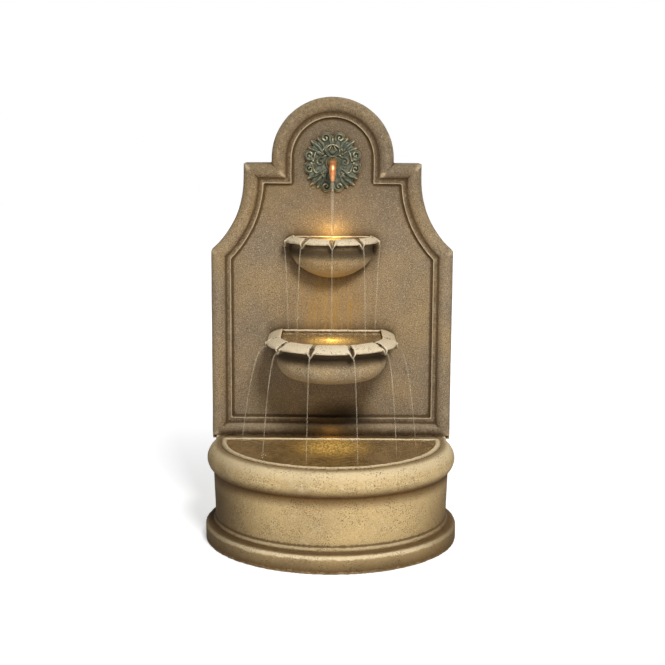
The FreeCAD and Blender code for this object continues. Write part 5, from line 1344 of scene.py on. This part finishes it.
@dataclass
class Waterworks:
    """All the water of the running fountain."""

    spout_tip: Vector = Vector((0.0, 18 * MM, 935 * MM))
    upper_level: float = 782 * MM
    lower_level: float = 531 * MM
    basin_level: float = 254 * MM
    jet_steps: int = 30
    jet_flatness: float = 0.7
    splash: float = 1.6

    def upper_bowl(self) -> PouringBowl:
        """What runs over the upper bowl.

        Returns:
            The bowl's heights, reaches and notches.
        """
        return PouringBowl("upper", centre_y=67 * MM, mouth=100 * MM, rim=124 * MM,
                           level=self.upper_level, notch_low=776 * MM, beak_low=764.5 * MM,
                           notches={-80: -13 * MM, -38: 16 * MM, 0: 10 * MM, 38: 12 * MM, 80: -13 * MM},
                           floor=self.lower_level)

    def lower_bowl(self) -> PouringBowl:
        """What runs over the lower bowl.

        Returns:
            The bowl's heights, reaches and notches.
        """
        return PouringBowl("lower", centre_y=-47 * MM, mouth=131 * MM, rim=168 * MM,
                           level=self.lower_level, notch_low=526 * MM, beak_low=510.5 * MM,
                           notches={-88: 60 * MM, -53: 42 * MM, -18: 24 * MM, 18: 40 * MM, 53: 34 * MM,
                                    88: 48 * MM},
                           floor=self.basin_level)

    def pools(self, upper: PouringBowl, lower: PouringBowl) -> list[Pool]:
        """Set up the three pools.

        Args:
            upper: what runs over the upper bowl.
            lower: what runs over the lower bowl.

        Returns:
            The pools from the top down.
        """
        jet_landing = Landing(self.spout_tip.x, self.spout_tip.y, self.splash)
        return [
            Pool("upper_pool", upper.centre_y, 99.6 * MM, upper.back_y, self.upper_level, [jet_landing],
                 lamp_y=40 * MM, lit_reach=60 * MM, lit=1.1),
            Pool("lower_pool", lower.centre_y, 130.4 * MM, lower.back_y, self.lower_level,
                 upper.landings(), lamp_y=-52 * MM, lit_reach=85 * MM, lit=1.5),
            Pool("basin_pool", 0.0, 274.6 * MM, 8.8 * MM, self.basin_level, lower.landings(),
                 lamp_y=-70 * MM, lit_reach=135 * MM, lit=0.8,
                 segments=220, rings=110, wave_length=22 * MM),
        ]

    def jet(self) -> Stream:
        """Lead the flat jet from the spout down to the upper pool.

        Returns:
            The jet.
        """
        path, radii = [], []
        for step in range(self.jet_steps + 1):
            share = step / self.jet_steps
            path.append(self.spout_tip - Vector((0, 0, (self.spout_tip.z - self.upper_level) * share)))
            # the jet swells under the tip and then thins, unevenly
            radii.append((3.3 + 0.9 * min(share * 5, 1.0) - 1.2 * share
                          + 0.3 * noise.noise(Vector((share * 7, 3, 1)))) * MM)
        return Stream("spout_jet", path, radii, self.jet_flatness)

    def build(self) -> Iterable[bpy.types.Object]:
        """Model pools, strands and the spout's jet.

        Yields:
            Each piece of water.
        """
        falling = Water("falling_water", tint=srgb(244, 230, 200), clear=0.12, edge=0.52,
                        ripple_per_metre=120.0, ripple_depth=0.25 * MM, sheen=0.2)
        glassy = Water("jet_water", tint=srgb(244, 226, 192), clear=0.14, edge=0.88,
                       ripple_per_metre=90.0, ripple_depth=0.12 * MM, sheen=0.2)
        upper, lower = self.upper_bowl(), self.lower_bowl()
        for pool in self.pools(upper, lower):
            yield from pool.build()
        for bowl in (upper, lower):
            yield from bowl.build(falling)
        yield from self.jet().build(glassy)


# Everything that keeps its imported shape


@dataclass
class PlainParts:
    """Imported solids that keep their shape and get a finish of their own."""

    finish: AgedMetal | MouldedPlastic | LitGlass
    nodes: Sequence[str]

    def build(self) -> Iterable[bpy.types.Object]:
        """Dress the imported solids.

        Yields:
            Each dressed solid.
        """
        material = self.finish.material()
        for name in self.nodes:
            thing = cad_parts[name]
            thing.data.materials.clear()
            thing.data.materials.append(material)
            yield thing


def metal_parts(lamps: Sequence[str]) -> list[PlainParts]:
    """Group the metal solids that share a finish.

    Args:
        lamps: what each lamp's pieces are called after.

    Returns:
        The groups.
    """
    return [
        PlainParts(AgedMetal("worn_copper", srgb(255, 192, 134), srgb(246, 146, 84), srgb(132, 62, 24),
                             metallic=0.75, smooth=0.30), ["spout_tube"]),
        PlainParts(AgedMetal("collar_bronze", srgb(132, 122, 84), srgb(84, 86, 66), srgb(34, 34, 26),
                             smooth=0.42), ["spout_collar"]),
        PlainParts(AgedMetal("yellow_brass", srgb(214, 178, 96), srgb(168, 132, 66), srgb(70, 50, 24)),
                   ["spout_elbow", "spout_locknut", "rosette_studs"]),
        PlainParts(AgedMetal("lamp_brass", srgb(150, 122, 66), srgb(104, 84, 46), srgb(44, 36, 22),
                             smooth=0.45),
                   [lamp + part for lamp in lamps for part in ("_body", "_bezel")]),
        PlainParts(AgedMetal("stainless_steel", srgb(196, 197, 198), srgb(150, 150, 150),
                             srgb(60, 58, 54), smooth=0.28, brush=(0.15, 1.0, 1.0)),
                   ["rear_cover_screws", "hinge_fixed_leaves", "hinge_door_leaves", "hinge_pins",
                    "door_strike", "hose_clamps", "junction_lid_screws", "bowl_bolts", "bowl_nuts",
                    "seat_bolts", "seat_nuts", "rail_screws", *(lamp + "_bracket" for lamp in lamps)]),
        PlainParts(AgedMetal("galvanised_steel", srgb(178, 182, 184), srgb(140, 144, 148),
                             srgb(70, 70, 70), smooth=0.42, grain_per_metre=240.0),
                   ["hanging_rail", "rail_spacers"]),
    ]


def other_parts(lamps: Sequence[str]) -> list[PlainParts]:
    """Group the plastic, rubber, ceramic and glass solids that share a finish.

    Args:
        lamps: what each lamp's pieces are called after.

    Returns:
        The groups.
    """
    return [
        PlainParts(LitGlass("lit_lens"), [lamp + "_lens" for lamp in lamps]),
        PlainParts(MouldedPlastic("cover_paint", srgb(126, 112, 92), rough=0.45, skin_per_metre=900.0),
                   ["rear_cover", "access_door"]),
        PlainParts(MouldedPlastic("black_plastic", srgb(38, 38, 40), dusty=0.12),
                   ["door_knob", "door_magnet", "hose_clips", "mains_gland", "riser_hose"]),
        PlainParts(MouldedPlastic("pump_plastic", srgb(44, 50, 54), dusty=0.14),
                   ["pump_housing", "pump_chamber", "pump_strainer"]),
        PlainParts(MouldedPlastic("soft_rubber", srgb(30, 30, 30), rough=0.62, specular=0.3),
                   ["pump_bushes", "pump_feet", "lead_grommets", "pump_lead", "drain_plug",
                    *(lamp + "_lead" for lamp in lamps)]),
        PlainParts(MouldedPlastic("grey_plastic", srgb(150, 154, 156), dusty=0.22),
                   ["junction_box", "junction_lid"]),
        PlainParts(MouldedPlastic("white_plastic", srgb(222, 222, 216), dusty=0.2),
                   ["led_driver", "pump_impeller"]),
        PlainParts(MouldedPlastic("red_plastic", srgb(186, 62, 44), dusty=0.12), ["flow_dial"]),
        PlainParts(MouldedPlastic("ceramic", srgb(232, 232, 228), rough=0.2, dusty=0.04), ["pump_shaft"]),
    ]


# Studio


@dataclass
class Studio:
    """Camera at the photograph's viewing angle, pale floor and soft lights."""

    eye: Vector = Vector((0.0, -3.358, 1.076))
    pitch: float = 9.15
    roll: float = 0.32
    lens: float = 70.57
    sensor: float = 36.0
    shift: tuple[float, float] = (0.00125, 0.0045)
    surround: float = 0.20
    floor_half: float = 14.0
    floor_colour: Rgb = (0.93, 0.93, 0.93)
    lift_near: float = 0.5
    lift_far: float = 3.0
    lift: float = 0.42
    warm: Rgb = (1.0, 0.73, 0.28)

    def camera(self) -> None:
        """Put the camera where the photograph was taken from."""
        data = bpy.data.cameras.new("view")
        data.lens = self.lens
        data.sensor_width = self.sensor
        data.shift_x, data.shift_y = self.shift
        thing = new_object("view", data)
        tilt = Matrix.Rotation(math.radians(90 - self.pitch), 4, "X")
        roll = Matrix.Rotation(math.radians(self.roll), 4, "Z")
        thing.matrix_world = Matrix.Translation(self.eye) @ tilt @ roll
        bpy.context.scene.camera = thing

    def area(self, name: str, spot: Place, aim: Place, size: float, power: float) -> None:
        """Add one soft light.

        Args:
            name: the light's name.
            spot: where it hangs.
            aim: what it looks at.
            size: length of its sides.
            power: its power in watts.
        """
        data = bpy.data.lights.new(name, "AREA")
        data.size = size
        data.energy = power
        thing = new_object(name, data)
        thing.location = spot
        thing.rotation_euler = (Vector(aim) - Vector(spot)).to_track_quat("-Z", "Y").to_euler()

    def glow(self, name: str, spot: Place, power: float, size: float = 12 * MM) -> None:
        """Add the warm light that a lamp throws out of the water.

        Args:
            name: the light's name.
            spot: its place.
            power: its power in watts.
            size: radius of the ball that shines.
        """
        data = bpy.data.lights.new(name, "POINT")
        data.energy = power
        data.color = self.warm
        data.shadow_soft_size = size
        thing = new_object(name, data)
        thing.location = spot
        thing.visible_glossy = False

    def world(self) -> None:
        """A white surround, which lights the fountain with only a part of its strength."""
        world = bpy.data.worlds.new("surround")
        bpy.context.scene.world = world
        tree = NodeTree(world)
        path = tree.add("ShaderNodeLightPath").outputs
        seen = tree.maths("MAXIMUM", path["Is Camera Ray"], path["Is Transmission Ray"])
        soft, white = (tree.add("ShaderNodeBackground", {"Color": (1.0, 1.0, 1.0), "Strength": strength})
                       for strength in (self.surround, 1.0))
        shown = tree.choose(seen, soft.outputs[0], white.outputs[0])
        tree.add("ShaderNodeOutputWorld", {"Surface": shown})

    def floor(self) -> None:
        """A pale floor that keeps the fountain's shadow and grows white further off."""
        form = bmesh.new()
        bmesh.ops.create_grid(form, x_segments=1, y_segments=1, size=self.floor_half)
        thing = finish_mesh(form, "studio_floor")
        tree = ShaderTree("pale_floor")
        plain = tree.add("ShaderNodeBsdfPrincipled", {"Base Color": self.floor_colour, "Roughness": 0.9,
                                                      "Specular IOR Level": 0.1}).outputs[0]
        strength = tree.level(tree.distance((0, 0, 0)), self.lift_near, self.lift_far, self.lift, 1.0)
        light = tree.add("ShaderNodeEmission", {"Strength": strength}).outputs[0]
        lifted = tree.add("ShaderNodeAddShader", {0: plain, 1: light}).outputs[0]
        seen = tree.add("ShaderNodeLightPath").outputs["Is Camera Ray"]
        thing.data.materials.append(tree.finish(tree.choose(seen, plain, lifted)))

    def build(self) -> None:
        """Set the whole studio up."""
        self.camera()
        self.world()
        self.floor()
        self.area("key", (0.65, -2.7, 2.5), aim=(0, 0, 0.45), size=0.7, power=100)
        self.area("fill", (-1.6, -3.0, 1.2), aim=(0, 0, 0.6), size=2.2, power=6)
        self.area("rear", (0.6, 2.6, 2.2), aim=(0, 0, 0.6), size=2.0, power=34)
        self.glow("upper_glow", (0.0, 0.046, 0.780), power=0.60)
        self.glow("lower_glow", (0.0, -0.050, 0.540), power=0.18)
        self.glow("basin_glow", (0.0, 0.035, 0.268), power=0.07)
        bpy.context.scene.view_settings.view_transform = "Standard"


# The four castings


def bowl_casting(name: str, neck: float, foot: float, voxel: float) -> StoneCasting:
    """Set up a bowl: painted light on its pale lips, painted shade in the neck under them and a painted
    warm glow at the foot.

    Args:
        name: which bowl it is.
        neck: height of the neck.
        foot: height of the lowest point.
        voxel: how finely its stone is divided.

    Returns:
        The casting.
    """
    # painted shade in the neck under the lip, and a painted warm glow at the foot
    painted_shade_and_glow = (Patch((0, 0, neck), (9.0, 9.0, 0.026), srgb(58, 42, 20), 0.90, 0.15),
             Patch((0, 0, foot), (9.0, 9.0, 0.036), srgb(176, 134, 66), 0.55, 0.1))
    # painted light: the lips are painted pale where they face up
    stone = CastStone(name + "_bowl_stone", pale=srgb(236, 218, 184), hollow_reach=0.035, painted_top_light=0.85,
                      specks=0.5, patches=painted_shade_and_glow)
    return StoneCasting(name + "_bowl", "cast_stone_%s_bowl" % name, stone, voxel)


def panel_casting() -> StoneCasting:
    """Set up the back panel with damp streaks that carry a painted lamp glow, painted shadows and painted
    shade on its top.

    Returns:
        The casting.
    """
    # damp streaks with a painted warm glow of the lower bowl's lamp between the bowls
    damp_streaks_and_glow = Patch((0, 0.080, 0.610), (0.135, 0.06, 0.135), srgb(172, 134, 66), 0.62, streaky=True)
    # painted shadow of the lower bowl on the field
    painted_bowl_shadow = Patch((0.02, 0.080, 0.298), (0.145, 0.03, 0.066), srgb(34, 25, 12), 0.92)
    # painted shadow of the lower bowl on the bottom roll
    painted_roll_shadow = Patch((0, 0.066, 0.262), (0.195, 0.03, 0.030), srgb(66, 48, 22), 0.80)
    # painted light on what faces up and painted shade towards the top
    stone = CastStone("panel_stone", sand=srgb(163, 138, 100), grey=srgb(142, 124, 100),
                      pale=srgb(194, 174, 140), pit_share=0.5, painted_top_light=0.2, painted_top_shade=0.4,
                      patches=(damp_streaks_and_glow, painted_bowl_shadow, painted_roll_shadow))
    return StoneCasting("back_panel", "cast_stone_panel", stone, 2.4 * MM)


def basin_casting() -> StoneCasting:
    """Set up the basin with painted shade on its ledge, under its rim, in its grooves and on its sides,
    and a darker foot.

    Returns:
        The casting.
    """
    # painted shade on the rear ledge under the panel
    painted_ledge_shade = Patch((0, 0.043, 0.250), (0.310, 0.028, 0.012), srgb(96, 68, 28), 0.92, 0.75)
    # painted shade under the rim
    painted_rim_shade = Patch((0.306, 0, 0.184), (0.050, 0.03, 0.034), srgb(92, 60, 16), 0.88, 0.05, ring=True)
    # painted shade in the groove beside the rim's band
    painted_groove_shade = Patch((0.293, 0, 0.249), (0.017, 0.03, 0.014), srgb(112, 82, 38), 0.72, 0.15, ring=True)
    # painted shade on the plinth's top where the drum meets it
    painted_plinth_shade = Patch((0.316, 0, 0.050), (0.016, 0.03, 0.034), srgb(96, 68, 26), 0.62, 0.15, ring=True)
    foot = Patch((0.331, 0, 0), (0.050, 0.03, 0.016), srgb(110, 80, 38), 0.75, 0.1, ring=True)
    # painted shade on the left and right sides, where the round drum turns away from the light
    painted_left_shade = Patch((-0.33, 0, 0.11), (0.24, 0.8, 0.20), srgb(76, 54, 24), 0.90, 0.1)
    painted_right_shade = Patch((0.36, 0, 0.07), (0.23, 0.8, 0.18), srgb(98, 72, 34), 0.88, 0.1)
    stone = CastStone("basin_stone", sand=srgb(216, 186, 130), grey=srgb(192, 164, 116),
                      pale=srgb(240, 220, 178), hollow_reach=0.075, damp_foot=0.35, specks=0.34,
                      pits_per_metre=225.0, pit_size=0.18,
                      patches=(painted_ledge_shade, painted_rim_shade, painted_groove_shade, painted_plinth_shade, foot, painted_left_shade,
                               painted_right_shade))
    return StoneCasting("basin", "cast_stone_basin", stone, 2.8 * MM)


def main() -> None:
    """Build the sub-assemblies in order and report each piece."""
    LOG.setLevel(logging.INFO)
    LOG.addHandler(logging.StreamHandler(sys.stdout))
    Studio().build()
    lamps = ["upper_lamp", "lower_lamp", "basin_lamp"]
    for part in [panel_casting(), basin_casting(), bowl_casting("upper", 0.752, 0.680, 1.6 * MM),
                 bowl_casting("lower", 0.500, 0.422, 1.8 * MM), Rosette(), *metal_parts(lamps),
                 *other_parts(lamps), Waterworks()]:
        for thing in part.build():
            LOG.info("%s: %s, %d faces", type(part).__name__, thing.name, len(thing.data.polygons))


if __name__ == "__main__":
    main()
